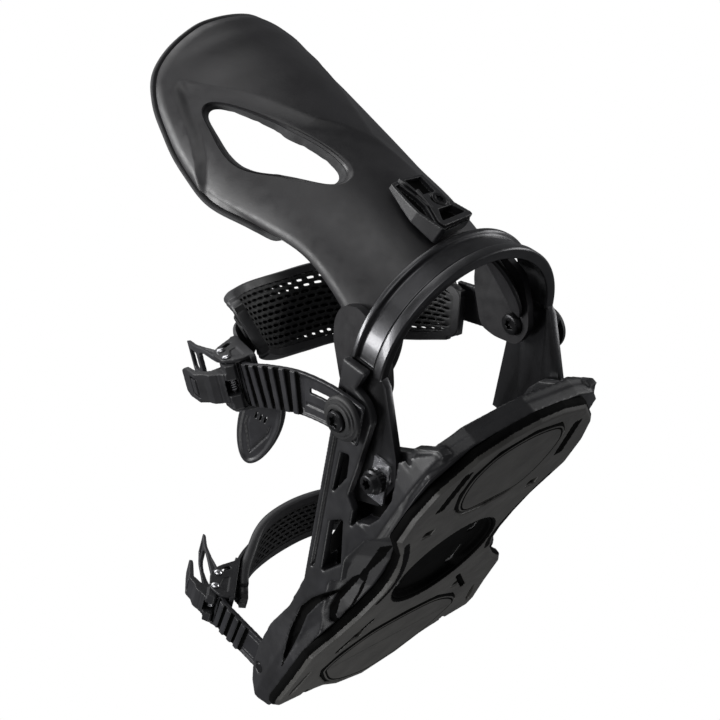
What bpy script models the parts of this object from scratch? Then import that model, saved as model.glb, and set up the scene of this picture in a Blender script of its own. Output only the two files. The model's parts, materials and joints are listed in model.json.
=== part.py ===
"""A strap-in snowboard binding for the right foot, as separate pieces on their joints.

Sizes here are in millimetres and become metres in the meshes. +Y points to the toe, +X to the
outer side of the foot and +Z up. The origin is the centre of the disc opening on the board plane.
"""

from math import cos, degrees, pi, radians, sin

import bmesh
import bpy
from mathutils import Matrix, Vector

MM = 0.001

# Base
SEAM = 7.0
GAP = 0.3
FLOOR_LOW = SEAM + GAP
FLOOR_TOP = 13.0
DISC_OPENING = 32.4
DISC_SEAT = 39.5
DISC_LEDGE = 5.4

# Struts, hoop and highback
LEAN = radians(19.5)
ALONG = Vector((0, -cos(LEAN), sin(LEAN)))
ACROSS = Vector((0, sin(LEAN), cos(LEAN)))
INNER_WALL = (48.5, 54.0)
ARM = (55.2, 59.1)
OUTER_WALL = (60.2, 65.0)
HOOP_APEX = Vector((0, -157.0, 91.0))
HOOP_HALF_WIDTH = 59.4
HOOP_DEPTH = 50.0
HOOP_SCREW = Vector((0, -72.5, 28.5))
HIGHBACK_PIVOT = Vector((0, -101.0, 62.0))
HOOP_TRAVEL = 5.0

# Forward-lean adjuster, on the back of the highback
LEAN_HEIGHT = 112.5
LEAN_TURN = radians(7.5)

# Straps
ANKLE_PIVOT = Vector((0, -92.8, 56.2))
ANKLE_ENTRY = Vector((-71.5, -55.0, 108.0))
ANKLE_RUN = Vector((0.4, 0.6, 0.69)).normalized()
ANKLE_WIDTH_NEAR = Vector((-0.1, -0.72, 0.685))
TOE_PIVOT = Vector((0, 87.0, 22.0))
TOE_ENTRY = Vector((-66.5, 91.5, 60.0))
TOE_RUN = Vector((0.72, 0.152, 0.677)).normalized()
TOE_WIDTH_NEAR = Vector((0, -0.975, 0.22))

# Buckles: pivots as distances along and above the ladder, at the unscaled size
LEVER_PIVOT = (17.0, 8.0)
PAWL_PIVOT = (3.5, 8.5)
ANKLE_BUCKLE_SCALE = 0.84
TOE_BUCKLE_SCALE = 0.72
TOE_LEVER_REACH = 0.85
TOE_LEVER_LIFT = radians(10)

# Points round a turned piece
ROUND = 28


def clear_scene():
    for obj in list(bpy.data.objects):
        bpy.data.objects.remove(obj, do_unlink=True)


# Materials


def material(name, colour, roughness, metallic=0.0):
    found = bpy.data.materials.get(name)
    if found:
        return found
    made = bpy.data.materials.new(name)
    made.use_nodes = True
    shader = made.node_tree.nodes["Principled BSDF"]
    shader.inputs["Base Color"].default_value = (*colour, 1.0)
    shader.inputs["Roughness"].default_value = roughness
    shader.inputs["Metallic"].default_value = metallic
    return made


def nylon():
    return material("black_nylon", (0.018, 0.018, 0.020), 0.45)


def frame_nylon():
    return material("warm_black_nylon", (0.030, 0.029, 0.027), 0.50)


def foam():
    return material("black_foam", (0.022, 0.022, 0.024), 0.85)


def rubber():
    return material("dark_rubber", (0.028, 0.028, 0.030), 0.65)


def strap_core():
    return material("strap_core", (0.014, 0.014, 0.015), 0.60)


def ladder_plastic():
    return material("ladder_plastic", (0.045, 0.045, 0.050), 0.38)


def anodised():
    return material("black_anodised", (0.020, 0.020, 0.022), 0.18, 0.85)


def black_metal():
    return material("black_metal", (0.024, 0.024, 0.026), 0.35, 0.8)


def steel():
    return material("bright_steel", (0.60, 0.60, 0.62), 0.28, 1.0)


# Mesh tools


def object_from(mesh_data, name, look):
    mesh = bpy.data.meshes.new(name)
    bmesh.ops.recalc_face_normals(mesh_data, faces=mesh_data.faces)
    mesh_data.to_mesh(mesh)
    mesh_data.free()
    obj = bpy.data.objects.new(name, mesh)
    bpy.context.scene.collection.objects.link(obj)
    mesh.materials.append(look)
    return obj


def loft(name, look, rings, closed=False):
    """A skin over rings of equal length, capped at both ends unless the rings run in a circle."""
    mesh_data = bmesh.new()
    rows = [[mesh_data.verts.new(Vector(point) * MM) for point in ring] for ring in rings]
    count = len(rings[0])
    pairs = list(zip(rows, rows[1:]))
    if closed:
        pairs.append((rows[-1], rows[0]))
    for low, high in pairs:
        for i in range(count):
            k = (i + 1) % count
            mesh_data.faces.new((low[i], low[k], high[k], high[i]))
    if not closed:
        mesh_data.faces.new(rows[0])
        mesh_data.faces.new(rows[-1])
    return object_from(mesh_data, name, look)


def prism(name, look, outline, place, low, high):
    """An outline of (u, v) pairs extruded from low to high. place(u, v, w) gives each corner."""
    return loft(name, look, [[place(u, v, w) for u, v in outline] for w in (low, high)])


def upright(u, v, w):
    return (u, v, w)


def sideways(u, v, w):
    """Outlines in Y and Z, extruded along X."""
    return (w, u, v)


def circle(radius, centre=(0.0, 0.0), count=ROUND, phase=0.0):
    turns = [phase + 2 * pi * i / count for i in range(count)]
    return [(centre[0] + radius * cos(t), centre[1] + radius * sin(t)) for t in turns]


def slot_outline(start, end, radius, count=6):
    """A long hole with round ends, between two centres."""
    start, end = Vector(start), Vector(end)
    run = (end - start).normalized()
    side = Vector((-run.y, run.x))
    points = []
    for centre, sign in ((end, 1), (start, -1)):
        for i in range(count + 1):
            turn = pi * i / count
            points.append(centre + radius * sign * (side * -cos(turn) + run * sin(turn)))
    return [tuple(point) for point in points]


def mirrored(outline):
    """A half outline on the +X side, completed with its mirror image."""
    other = [(-x, y) for x, y in reversed(outline) if abs(x) > 1e-6]
    return list(outline) + other


def combine(target, tool, operation="DIFFERENCE"):
    """Applies an exact Boolean and removes the tool."""
    modifier = target.modifiers.new("combine", "BOOLEAN")
    modifier.operation = operation
    modifier.object = tool
    bpy.context.view_layer.update()
    evaluated = target.evaluated_get(bpy.context.evaluated_depsgraph_get())
    result = bpy.data.meshes.new_from_object(evaluated)
    target.modifiers.remove(modifier)
    target.data = result
    bpy.data.objects.remove(tool, do_unlink=True)
    return target


def cut(target, outline, place, low, high):
    return combine(target, prism("cutter", target.data.materials[0], outline, place, low, high))


def join(target, *others):
    for other in others:
        combine(target, other, "UNION")
    return target


def soften(obj, width=0.6, segments=1, angle=50):
    modifier = obj.modifiers.new("edges", "BEVEL")
    modifier.width = width * MM
    modifier.segments = segments
    modifier.limit_method = "ANGLE"
    modifier.angle_limit = radians(angle)
    return obj


def smooth(obj, angle=40):
    obj.data.shade_smooth()
    obj.data.set_sharp_from_angle(angle=radians(angle))
    return obj


def turned(name, look, profile, centre, axis, count=ROUND, bore=0.0):
    """A round piece from (distance along axis, radius) pairs, with an optional bore through it."""
    axis = Vector(axis).normalized()
    side = axis.orthogonal().normalized()
    other = axis.cross(side)
    centre = Vector(centre)

    def ring(along, radius):
        turns = [2 * pi * i / count for i in range(count)]
        return [centre + axis * along + radius * (side * cos(t) + other * sin(t)) for t in turns]

    rings = [ring(along, radius) for along, radius in profile]
    if bore:
        rings += [ring(profile[-1][0], bore), ring(profile[0][0], bore)]
    return smooth(loft(name, look, rings, closed=bool(bore)))


def spline(points, steps):
    """A smooth curve through the points, with the given number of steps between two of them."""
    points = [Vector(p) for p in points]
    padded = [2 * points[0] - points[1], *points, 2 * points[-1] - points[-2]]
    curve = []
    for i in range(1, len(padded) - 2):
        a, b, c, d = padded[i - 1 : i + 3]
        for k in range(steps):
            t = k / steps
            curve.append(
                0.5 * (2 * b + (c - a) * t + (2 * a - 5 * b + 4 * c - d) * t**2)
                + 0.5 * (3 * b - a - 3 * c + d) * t**3
            )
    curve.append(points[-1])
    return curve


def blend(stations, at):
    """The value at a place along (place, value, ...) rows, in straight steps between them."""
    if at <= stations[0][0]:
        return stations[0][1:]
    for low, high in zip(stations, stations[1:]):
        if at <= high[0]:
            share = (at - low[0]) / (high[0] - low[0])
            return tuple(a + (b - a) * share for a, b in zip(low[1:], high[1:]))
    return stations[-1][1:]


# Base plate, chassis and their pads

BASE_HALF = [
    (0, 116), (22, 109.5), (36, 100), (44, 97.5), (70, 94), (72, 88), (69.5, 68), (68.5, 47),
    (56, 35), (46, 22), (39.5, 6), (38.5, -6), (40.5, -20), (45, -34), (58, -54), (58, -74),
    (53, -92), (37, -111), (18, -118), (0, -120),
]


def grown(outline, amount):
    """The outline moved outwards by an amount, corner by corner."""
    count = len(outline)
    result = []
    for i in range(count):
        before, here, after = (Vector(outline[(i + k) % count]) for k in (-1, 0, 1))
        first = (here - before).normalized()
        second = (after - here).normalized()
        normal = Vector((first.y, -first.x)) + Vector((second.y, -second.x))
        result.append(tuple(here + normal.normalized() * amount))
    return result


def base_plate():
    """The lower frame plate: a flat slab with a chamfered edge, round the disc opening."""
    outline = mirrored(BASE_HALF)
    outline = outline[::-1] if winding(outline) < 0 else outline
    chamfer, under = 3.0, 0.8
    rings = [
        [(x, y, z) for x, y in grown(outline, out)]
        for out, z in ((0.0, under), (chamfer, under + chamfer), (chamfer, SEAM))
    ]
    plate = loft("base_plate", frame_nylon(), rings)
    cut(plate, circle(DISC_SEAT - 3.2, count=48), upright, DISC_LEDGE, SEAM + 1)
    cut(plate, circle(DISC_OPENING, count=48), upright, -1, SEAM + 1)
    for x, y in ((1, 1), (1, -1), (-1, 1), (-1, -1)):
        window = [(x * (37.5 + dx), y * (48.1 + dy)) for dx, dy in ((-4, -3), (3, -3), (3, 3), (-4, 3))]
        cut(plate, window, upright, -1, SEAM + 1)
    cut(plate, mirrored(TOE_PAD_HALF), upright, -1, 3.6)
    cut(plate, mirrored(HEEL_PAD_HALF), upright, -1, 3.6)
    return plate


def winding(outline):
    return sum(a[0] * b[1] - b[0] * a[1] for a, b in zip(outline, outline[1:] + outline[:1]))


TOE_PAD_HALF = [(0, 112), (20, 107), (36, 97), (47, 82), (50, 73), (42, 62), (24, 52), (0, 50)]
HEEL_PAD_HALF = [(0, -54), (18, -55), (28, -64), (33, -80), (32, -96), (22, -109), (0, -114)]


def base_pad(name, half):
    """A foam pad let into the underside. Its face stands proud of the plate and rests on the board."""
    outline = mirrored(half)
    outline = outline[::-1] if winding(outline) < 0 else outline
    rings = [
        [(x, y, z) for x, y in grown(outline, out)]
        for out, z in ((-4.0, 0.0), (-0.9, 1.0), (-0.4, 3.3))
    ]
    return loft(name, foam(), rings)


def tray():
    """The floor of the chassis, with the seat that the disc turns in."""
    half = [
        (0, 113), (22, 108), (36, 102), (50, 103), (67, 100), (72, 92), (70, 60), (65, 40),
        (61, 20), (60, -20), (60.5, -60), (61, -84), (58.5, -100), (50, -110), (36, -116), (0, -121),
    ]
    floor = prism("chassis", nylon(), mirrored(half), upright, FLOOR_LOW, FLOOR_TOP)
    cut(floor, circle(DISC_SEAT, count=48), upright, FLOOR_LOW - 1, FLOOR_TOP + 1)
    return floor


def heel_cup():
    """The raised rear edge of the tray behind the heel."""
    outer = [(0, -120.5), (36, -115.5), (49.5, -109.5), (58, -100), (60, -88)]
    inner = [(54, -88), (52, -98), (44, -105.5), (33, -110.5), (0, -114.5)]
    ring = outer + inner
    ring = ring + [(-x, y) for x, y in reversed(ring) if x > 0]
    return prism("heel_cup", nylon(), ring, upright, FLOOR_TOP - 1, 18.0)


SIDE_STATIONS = [
    # y, outer foot, outer mid, mid height, outer top, top height, inner
    (108, 66, 69, 14, 64, 17, 58),
    (103, 70, 72.5, 15, 68, 23, 58),
    (92, 71.5, 73, 16, 70, 26, 58),
    (78, 70.5, 72, 17, 69.5, 30, 57),
    (60, 68, 69.5, 18, 67.5, 32, 54),
    (40, 63, 66.5, 18, 65.5, 29.5, 49),
    (20, 59, 65, 18, 65, 31, 48.5),
    (0, 57, 64.5, 16, 65, 30, 48.5),
    (-20, 57, 64, 15, 65, 27, 48.5),
    (-45, 59.5, 64, 15, 65, 24, 48.5),
]


def side_foot(sign):
    """The sidewall's foot: it flares at the toe, tucks in at the waist and carries the strut."""
    rings = []
    for y, foot, mid, mid_z, top, top_z, inner in SIDE_STATIONS:
        section = [(inner, FLOOR_LOW), (foot, FLOOR_LOW), (mid, mid_z), (top, top_z), (inner, top_z)]
        rings.append([(sign * x, y, z) for x, z in section])
    return loft("side_foot", nylon(), rings)


def strut(sign):
    """The long arm from the toe side up to the hoop, with its rail, two windows and a groove."""
    outline = [
        (22, 20), (20, 30), (-112.6, 75.5), (-119.5, 56), (-117, 49), (-70.8, 39), (-32.5, 32),
        (-15.7, 25), (0, 18),
    ]
    low, high = OUTER_WALL
    arm = prism("strut", nylon(), outline, sideways, sign * low, sign * high)
    start = Vector((17, 26.6))
    run = Vector((-132.6, 45.5)).normalized()
    end = start + run * 122
    cut(arm, slot_outline(start, end, 1.3, 3), sideways, sign * (high - 2.2), sign * (high + 1))
    return arm


def strut_windows(body, sign):
    for outline in (
        [(3, 22.5), (-15, 23), (-33, 31.5), (-25, 36)],
        [(-43, 43.2), (-60, 41), (-72, 46), (-68, 51)],
    ):
        cut(body, outline, sideways, sign * 54.4, sign * (OUTER_WALL[1] + 2))


def inner_wall(sign):
    """The wall inside the hoop arm, with the slot that the hoop screw slides in."""
    outline = [(44, 10), (44, 27), (20, 28), (-60, 52), (-84, 50), (-98, 26), (-112, 14), (-112, 10)]
    low, high = INNER_WALL
    return prism("inner_wall", nylon(), outline, sideways, sign * low, sign * high)


REAR_STATIONS = [
    # y, outer x, top height
    (-38, 64, 25), (-44, 64, 24), (-50, 64, 18), (-58, 64, 15.6), (-74, 63.5, 15.6), (-84, 62.5, 20),
    (-92, 61, 24.5), (-100, 59, 21), (-109, 55, 14),
]


def rear_side(sign):
    """The low rear part of the sidewall, below the pocket that the hoop screw sits in."""
    rings = []
    for y, outer, top in REAR_STATIONS:
        section = [(50, 9), (outer - 2, 9), (outer, 11), (outer, top), (50, top)]
        rings.append([(sign * x, y, z) for x, z in section])
    return loft("rear_side", nylon(), rings)


WAIST_STATIONS = [
    # y, inner x, height at the outside
    (36, 58, 8.2), (24, 47, 15), (4, 41.5, 20), (-22, 42, 20), (-40, 47, 17), (-51, 57, 9),
]


def waist_scoop(body, sign):
    """The hollow under the sidewall at the waist, where the plate is narrow."""
    rings = []
    outer = 74
    for y, inner, rise in WAIST_STATIONS:
        middle = (0.55 * outer + 0.45 * inner, 0.75 * rise + 2)
        section = [(inner, FLOOR_LOW - 1), (outer, FLOOR_LOW - 1), (outer, rise), middle]
        rings.append([(sign * x, y, z) for x, z in section])
    combine(body, loft("scoop", nylon(), rings))


def hoop_screw_slot(body, sign):
    centre = Vector((HOOP_SCREW.y, HOOP_SCREW.z))
    run = Vector((ALONG.y, ALONG.z))
    outline = slot_outline(centre - run * HOOP_TRAVEL, centre + run * HOOP_TRAVEL, 3.3)
    cut(body, outline, sideways, sign * (INNER_WALL[0] - 1), sign * (INNER_WALL[1] + 0.6))


def arm_channel(body, sign):
    """The space between the inner wall and the strut, where the hoop arm slides."""
    outline = [
        (-34, 27), (-34, 62), (-140, 122), (-140, 42), (-112, 34), (-98, 20), (-92, 16.5), (-56, 16.5),
        (-47, 27),
    ]
    low, high = ARM[0] - 0.7, ARM[1] + 0.7
    cut(body, outline, sideways, sign * low, sign * high)


def toe_strap_slot(body, sign):
    """The upright slot that takes the end of the toe strap."""
    outline = [(75, 12), (100, 12), (106, 40), (68, 40)]
    cut(body, outline, sideways, sign * 61.6, sign * 67.6)
    centre = (TOE_PIVOT.y, TOE_PIVOT.z)
    cut(body, circle(3.0, centre, 16), sideways, sign * 56, sign * 75)


def ankle_mount_hole(body, sign):
    centre = (ANKLE_PIVOT.y, ANKLE_PIVOT.z)
    cut(body, circle(4.4, centre, 20), sideways, sign * 54.4, sign * 70)


def chassis():
    body = tray()
    join(body, heel_cup())
    for sign in (-1, 1):
        join(body, side_foot(sign), inner_wall(sign), rear_side(sign), strut(sign))
        waist_scoop(body, sign)
        arm_channel(body, sign)
        strut_windows(body, sign)
        hoop_screw_slot(body, sign)
        toe_strap_slot(body, sign)
        ankle_mount_hole(body, sign)
    return smooth(body, 30)


def toe_footbed():
    """The toe ramp, which rises towards the front."""
    outline = mirrored([
        (0, 111), (22, 106), (36, 100), (56, 98), (56, 80), (52.5, 60), (47, 44), (26, 46), (0, 47),
    ])
    rings = []
    for level in (0, 1):
        ring = []
        for x, y in outline:
            rise = 3.0 + 8.0 * (y - 44) / 67
            ring.append((x, y, FLOOR_TOP + GAP + level * rise))
        rings.append(ring)
    return soften(loft("toe_footbed", foam(), rings), 1.2, 1, 60)


def heel_footbed():
    half = [(0, -46), (26, -45), (44, -42), (44, -86), (41, -100), (31, -109), (0, -113)]
    footbed = prism("heel_footbed", foam(), mirrored(half), upright, FLOOR_TOP + GAP, 21.5)
    return soften(footbed, 1.2, 1, 60)


def mounting_disc():
    """The disc that clamps the base to the board and lets it turn. Four slots take board screws.

    Its underside is hollow round a centre boss, which meets the board."""
    flange, boss = DISC_SEAT - 3.6, DISC_OPENING - 0.5
    step = DISC_LEDGE + GAP
    hollow = [(0.0, 7.0), (4.0, 7.5), (4.0, boss - 4), (1.6, boss - 3)]
    profile = hollow + [(1.6, boss), (step, boss), (step, flange), (9.5, flange), (10.5, flange - 1)]
    disc = turned("mounting_disc", nylon(), profile, (0, 0, 0), (0, 0, 1), 48)
    for x in (-20, 20):
        for low, high in ((-20, -10), (10, 20)):
            cut(disc, slot_outline((x, low), (x, high), 3.05), upright, -1, 12)
            cut(disc, slot_outline((x, low), (x, high), 5.6), upright, 7.0, 12)
    return smooth(disc)


# Heel hoop and its fasteners


def hoop_point(turn, out, up):
    """A point on the hoop: turn runs round the back from 0 to pi, out is outwards, up across it."""
    width, depth = HOOP_HALF_WIDTH + out, HOOP_DEPTH + out
    behind = depth * sin(turn) - HOOP_DEPTH
    return Vector((width * cos(turn), 0, 0)) + HOOP_APEX + ALONG * behind + ACROSS * up


HOOP_SECTION = [
    # outwards, up from the top rim
    (0.0, 0.0), (0.0, -4.0), (-2.2, -4.8), (-2.2, -12.2), (-0.6, -13.6), (-0.6, -19.0), (-5.4, -19.0),
    (-4.4, -13.0), (-4.4, 0.0),
]


def hoop_band():
    rings = []
    for i in range(37):
        turn = pi * i / 36
        rings.append([hoop_point(turn, out, up) for out, up in HOOP_SECTION])
    return loft("heel_hoop", anodised(), rings)


def hoop_arm(sign):
    """One flat arm, which runs down inside the strut and widens to take the hoop screw."""
    start = HOOP_APEX - ALONG * HOOP_DEPTH
    top = [start + ALONG * 3 - ACROSS * 0.4, start - ALONG * 72 - ACROSS * 0.4]
    round_screw = [HOOP_SCREW + Vector((0, y, z)) for y, z in ((14, -7), (-6, -8.5), (-17, -2))]
    low = [start - ALONG * 72 - ACROSS * 18, *round_screw]
    low += [start - ALONG * 2 - ACROSS * 24, start + ALONG * 3 - ACROSS * 18.6]
    outline = [(p.y, p.z) for p in top + low]
    return prism("arm", anodised(), outline, sideways, sign * ARM[0], sign * ARM[1])


def heel_hoop():
    hoop = hoop_band()
    for sign in (-1, 1):
        join(hoop, hoop_arm(sign))
        centre = (HOOP_SCREW.y, HOOP_SCREW.z)
        cut(hoop, circle(3.0, centre, 16), sideways, sign * 50, sign * 62)
        centre = (HIGHBACK_PIVOT.y, HIGHBACK_PIVOT.z)
        cut(hoop, circle(3.0, centre, 16), sideways, sign * 50, sign * 62)
    return smooth(hoop, 35)


def hoop_fasteners(sign, side):
    """The screw with its knurled collar, the serrated plate under it and the nut inside."""
    centre = HOOP_SCREW
    plate_outline = []
    run, up = Vector((ALONG.y, ALONG.z)), Vector((ACROSS.y, ACROSS.z))
    middle = Vector((centre.y, centre.z - 0.5))
    for a, b in ((-12, -5), (12, -5), (12, 5), (-12, 5)):
        plate_outline.append(tuple(middle + run * a + up * b))
    low = ARM[1] + GAP
    plate = prism(f"serrated_plate_{side}", steel(), plate_outline, sideways, sign * low, sign * (low + 1.5))
    cut(plate, circle(3.0, (centre.y, centre.z), 16), sideways, sign * 50, sign * 70)
    base = low + 1.5 + GAP
    shank = [(48.2, 2.6), (base, 2.6)]
    head = [(base, 6.4), (base + 3.6, 6.4), (base + 4.0, 4.9), (base + 6.6, 4.6), (base + 7.0, 4.0)]
    screw = turned(f"hoop_screw_{side}", black_metal(), shank + head, centre, (sign, 0, 0), 20)
    nut = turned(f"hoop_nut_{side}", steel(), [(44.6, 6.0), (48.2, 6.0)], centre, (sign, 0, 0), 6, bore=3.0)
    return [plate, screw, nut]


# Highback


def highback_row(z):
    """The centre, radius and both edge angles of the shell's cross-section at one height."""
    rows = [
        # z, rear y, radius, centre x, left half-angle, right half-angle
        (56, -142.0, 50.3, 0, 80, 78),
        (70, -146.0, 50.5, 0, 79, 75),
        (95, -149.0, 52.0, -0.5, 70, 66),
        (130, -148.5, 56.0, -1.5, 61, 57),
        (160, -145.6, 59.5, -1.5, 65.5, 56),
        (188, -141.6, 64.2, -1.5, 68, 58),
        (204, -138.5, 66.3, -0.5, 64, 58),
        (216, -136.0, 67.4, 0.5, 61, 57),
        (230, -132.5, 68.6, 1.5, 55.5, 56),
        (249, -127.5, 70.5, 3, 47, 51.5),
        (257, -126.0, 71.3, 3.5, 42, 47),
        (264, -124.0, 72.1, 3.5, 34, 41),
        (270, -122.5, 72.9, 3.5, 21, 34),
        (274, -121.5, 73.5, 3.5, 7, 23),
    ]
    return blend(rows, z)


def shell_point(z, turn, radial):
    """A point at an angle round the shell, a radial distance outside its outer face."""
    rear, radius, middle = highback_row(z)[:3]
    reach = radius + radial
    return Vector((middle + reach * sin(turn), rear + radius - reach * cos(turn), z))


def highback_ring(z, inset, thickness, columns=18, grow=0.0):
    """One level of the shell or of its liner: the outer face, then the inner face on the way back."""
    radius, left, right = (highback_row(z)[i] for i in (1, 3, 4))
    more = degrees(grow / radius)
    turns = [radians(-(left + more) + (left + right + 2 * more) * i / columns) for i in range(columns + 1)]
    outer = [shell_point(z, turn, -inset) for turn in turns]
    inner = [shell_point(z, turn, -inset - thickness) for turn in turns]
    return outer + inner[::-1]


WINDOW = [
    # degrees round the shell, height
    (-39, 226.5), (-43, 214), (-47.5, 197), (-47, 184), (-38, 168), (-26, 149), (-19, 146.5), (-12, 149.5),
    (-11, 164), (-14, 181), (-19.5, 198), (-31, 226),
]


def cut_window(body, margin):
    """The tall opening on the inner side of the shell."""
    middle = Vector((sum(t for t, _ in WINDOW), sum(z for _, z in WINDOW))) / len(WINDOW)
    rings = []
    for radial in (-14, 4):
        ring = []
        for turn, z in WINDOW:
            away = Vector((turn, z)) - middle
            place = middle + away * (1 + margin / away.length)
            ring.append(shell_point(place.y, radians(place.x), radial))
        rings.append(ring)
    combine(body, loft("window", nylon(), rings))


SHELL_HEIGHTS = [62, 70, 82, 95, 112, 130, 148, 162, 176, 188, 200, 212, 224, 236, 247, 256, 264, 270, 274]
LINER_START = 148


def highback_shell():
    shell = loft("highback_shell", nylon(), [highback_ring(z, 0.0, 3.4) for z in SHELL_HEIGHTS])
    cut_window(shell, 0.0)
    return shell


def pivot_ear(sign):
    """The lug beside the heel that the pivot bolt passes through."""
    outline = [(-92, 56), (-96, 53), (-106, 53), (-114, 58), (-117, 70), (-112, 76), (-96, 74), (-91, 66)]
    return prism("ear", nylon(), outline, sideways, sign * 46.5, sign * 50.4)


def highback():
    shell = highback_shell()
    for sign in (-1, 1):
        join(shell, pivot_ear(sign))
        centre = (HIGHBACK_PIVOT.y, HIGHBACK_PIVOT.z)
        cut(shell, circle(3.1, centre, 16), sideways, sign * 40, sign * 54)
        cut(shell, circle(7.2, centre, 20), sideways, sign * 38, sign * 46.5)
    return smooth(shell, 35)


def highback_liner():
    """The padded lining inside the shell. It stands a little past the shell's edge all round."""
    rings = [highback_ring(z, 3.7, 4.6, grow=2.6 if z > LINER_START else 0.0)
             for z in SHELL_HEIGHTS if z >= LINER_START]
    top = [point + Vector((0, 2.0, 5.5)) for point in highback_ring(SHELL_HEIGHTS[-1], 3.7, 4.6, grow=-1.0)]
    liner = loft("highback_liner", foam(), rings + [top])
    cut_window(liner, 0.2)
    return smooth(liner, 35)


def highback_fasteners(sign, side):
    """A pivot bolt with its head inside the ear, and the spacer between the ear and the hoop arm."""
    bolt_profile = [(43.4, 5.6), (46.1, 6.2), (46.1, 2.7), (58.6, 2.7)]
    bolt = turned(f"highback_bolt_{side}", black_metal(), bolt_profile, HIGHBACK_PIVOT, (sign, 0, 0), 20)
    bush_profile = [(50.8, 5.5), (54.6, 5.5)]
    bush = turned(f"highback_bush_{side}", steel(), bush_profile, HIGHBACK_PIVOT, (sign, 0, 0), 16, bore=3.1)
    return [bolt, bush]


# Forward-lean adjuster on the back of the highback

def lean_frame():
    """Axes of the adjuster: x across, y up along the shell and z out from it."""
    return Matrix.Rotation(LEAN_TURN, 4, "Z") @ Matrix.Rotation(pi / 2, 4, "X")


def placed(obj, matrix, origin):
    """Moves a mesh built round the local origin, in metres, to its place."""
    obj.data.transform(Matrix.Translation(Vector(origin) * MM) @ matrix)
    obj.data.update()
    return obj


def lean_block():
    outline = [(-11, -18), (11, -18), (13, -13), (8, 2), (9.5, 18), (-9.5, 18), (-8, 2), (-13, -13)]
    block = prism("lean_block", nylon(), outline, upright, 1.9, 10.0)
    cut(block, [(-5, 6), (5, 6), (7, 15.5), (-7, 15.5)], upright, 4.0, 11)
    cut(block, [(-8.5, -12), (8.5, -12), (5.5, -5.5), (-5.5, -5.5)], upright, 4.0, 11)
    cut(block, circle(2.6, (0, 0), 16), upright, -1, 12)
    return block


def lean_lever():
    outline = [
        (-17.5, 17), (-14.5, 18), (-11.6, 10), (-9.0, 2), (-11.4, -5), (-16, -15), (-17.6, -15), (-14.6, -2),
        (-15, 7),
    ]
    return prism("lean_lever", rubber(), outline, upright, 1.6, 9.0)


def lean_screw():
    profile = [(2.2, 2.1), (10.4, 2.1), (10.4, 4.2), (12.0, 4.0)]
    return turned("lean_screw", black_metal(), profile, (0, 0, 0), (0, 0, 1), 20)


def lean_adjuster():
    pieces = [lean_block(), lean_lever(), lean_screw()]
    for piece in pieces:
        placed(piece, lean_frame(), shell_point(LEAN_HEIGHT, LEAN_TURN, 0))
    return pieces


# Straps


def strap_matrix(along, width):
    """Local axes of a buckle: x across the ladder, y along it and z outwards."""
    y = Vector(along).normalized()
    x = Vector(width)
    x = (x - y * x.dot(y)).normalized()
    return Matrix((x, y, x.cross(y))).transposed().to_4x4()


def band(name, look, centres, widths, half_widths, thickness, steps=3, edge=0.35):
    """A flat strap along a curve. widths gives the direction across it at each given centre."""
    curve = spline(centres, steps)
    across = spline(widths, steps)
    halves = spline([(h, 0, 0) for h in half_widths], steps)
    rings = []
    for i, point in enumerate(curve):
        ahead = curve[min(i + 1, len(curve) - 1)] - curve[max(i - 1, 0)]
        run = ahead.normalized()
        wide = across[i] - run * across[i].dot(run)
        wide.normalize()
        out = wide.cross(run)
        half, thick = halves[i].x, thickness / 2
        corner = [(half, -thick * edge), (half, thick * edge), (half - thick, thick), (-half + thick, thick)]
        section = corner + [(-a, -b) for a, b in corner]
        rings.append([point + wide * a + out * b for a, b in section])
    return smooth(loft(name, look, rings), 50)


RIB_SECTION = ((-1.3, 0.2), (1.3, 0.2), (0.5, 2.1), (-0.5, 2.1))


def ladder(name, centres, widths, half_width, ribs, rib_from, rib_to):
    """A toothed strap: a flat band with cross ribs on its outer face."""
    strap = band(name, ladder_plastic(), centres, widths, [half_width] * len(centres), 2.0, 3)
    curve = spline(centres, 12)
    across = spline(widths, 12)
    last = len(curve) - 1
    for k in range(ribs):
        i = round(last * (rib_from + (rib_to - rib_from) * k / (ribs - 1)))
        run = (curve[min(i + 1, last)] - curve[max(i - 1, 0)]).normalized()
        wide = (across[i] - run * across[i].dot(run)).normalized()
        out = wide.cross(run)
        out = -out if out.x > 0 else out
        rings = []
        for side in (-1, 1):
            centre = curve[i] + wide * side * (half_width - 1.6)
            rings.append([centre + run * a + out * b for a, b in RIB_SECTION])
        join(strap, loft("rib", ladder_plastic(), rings))
    return strap


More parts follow.
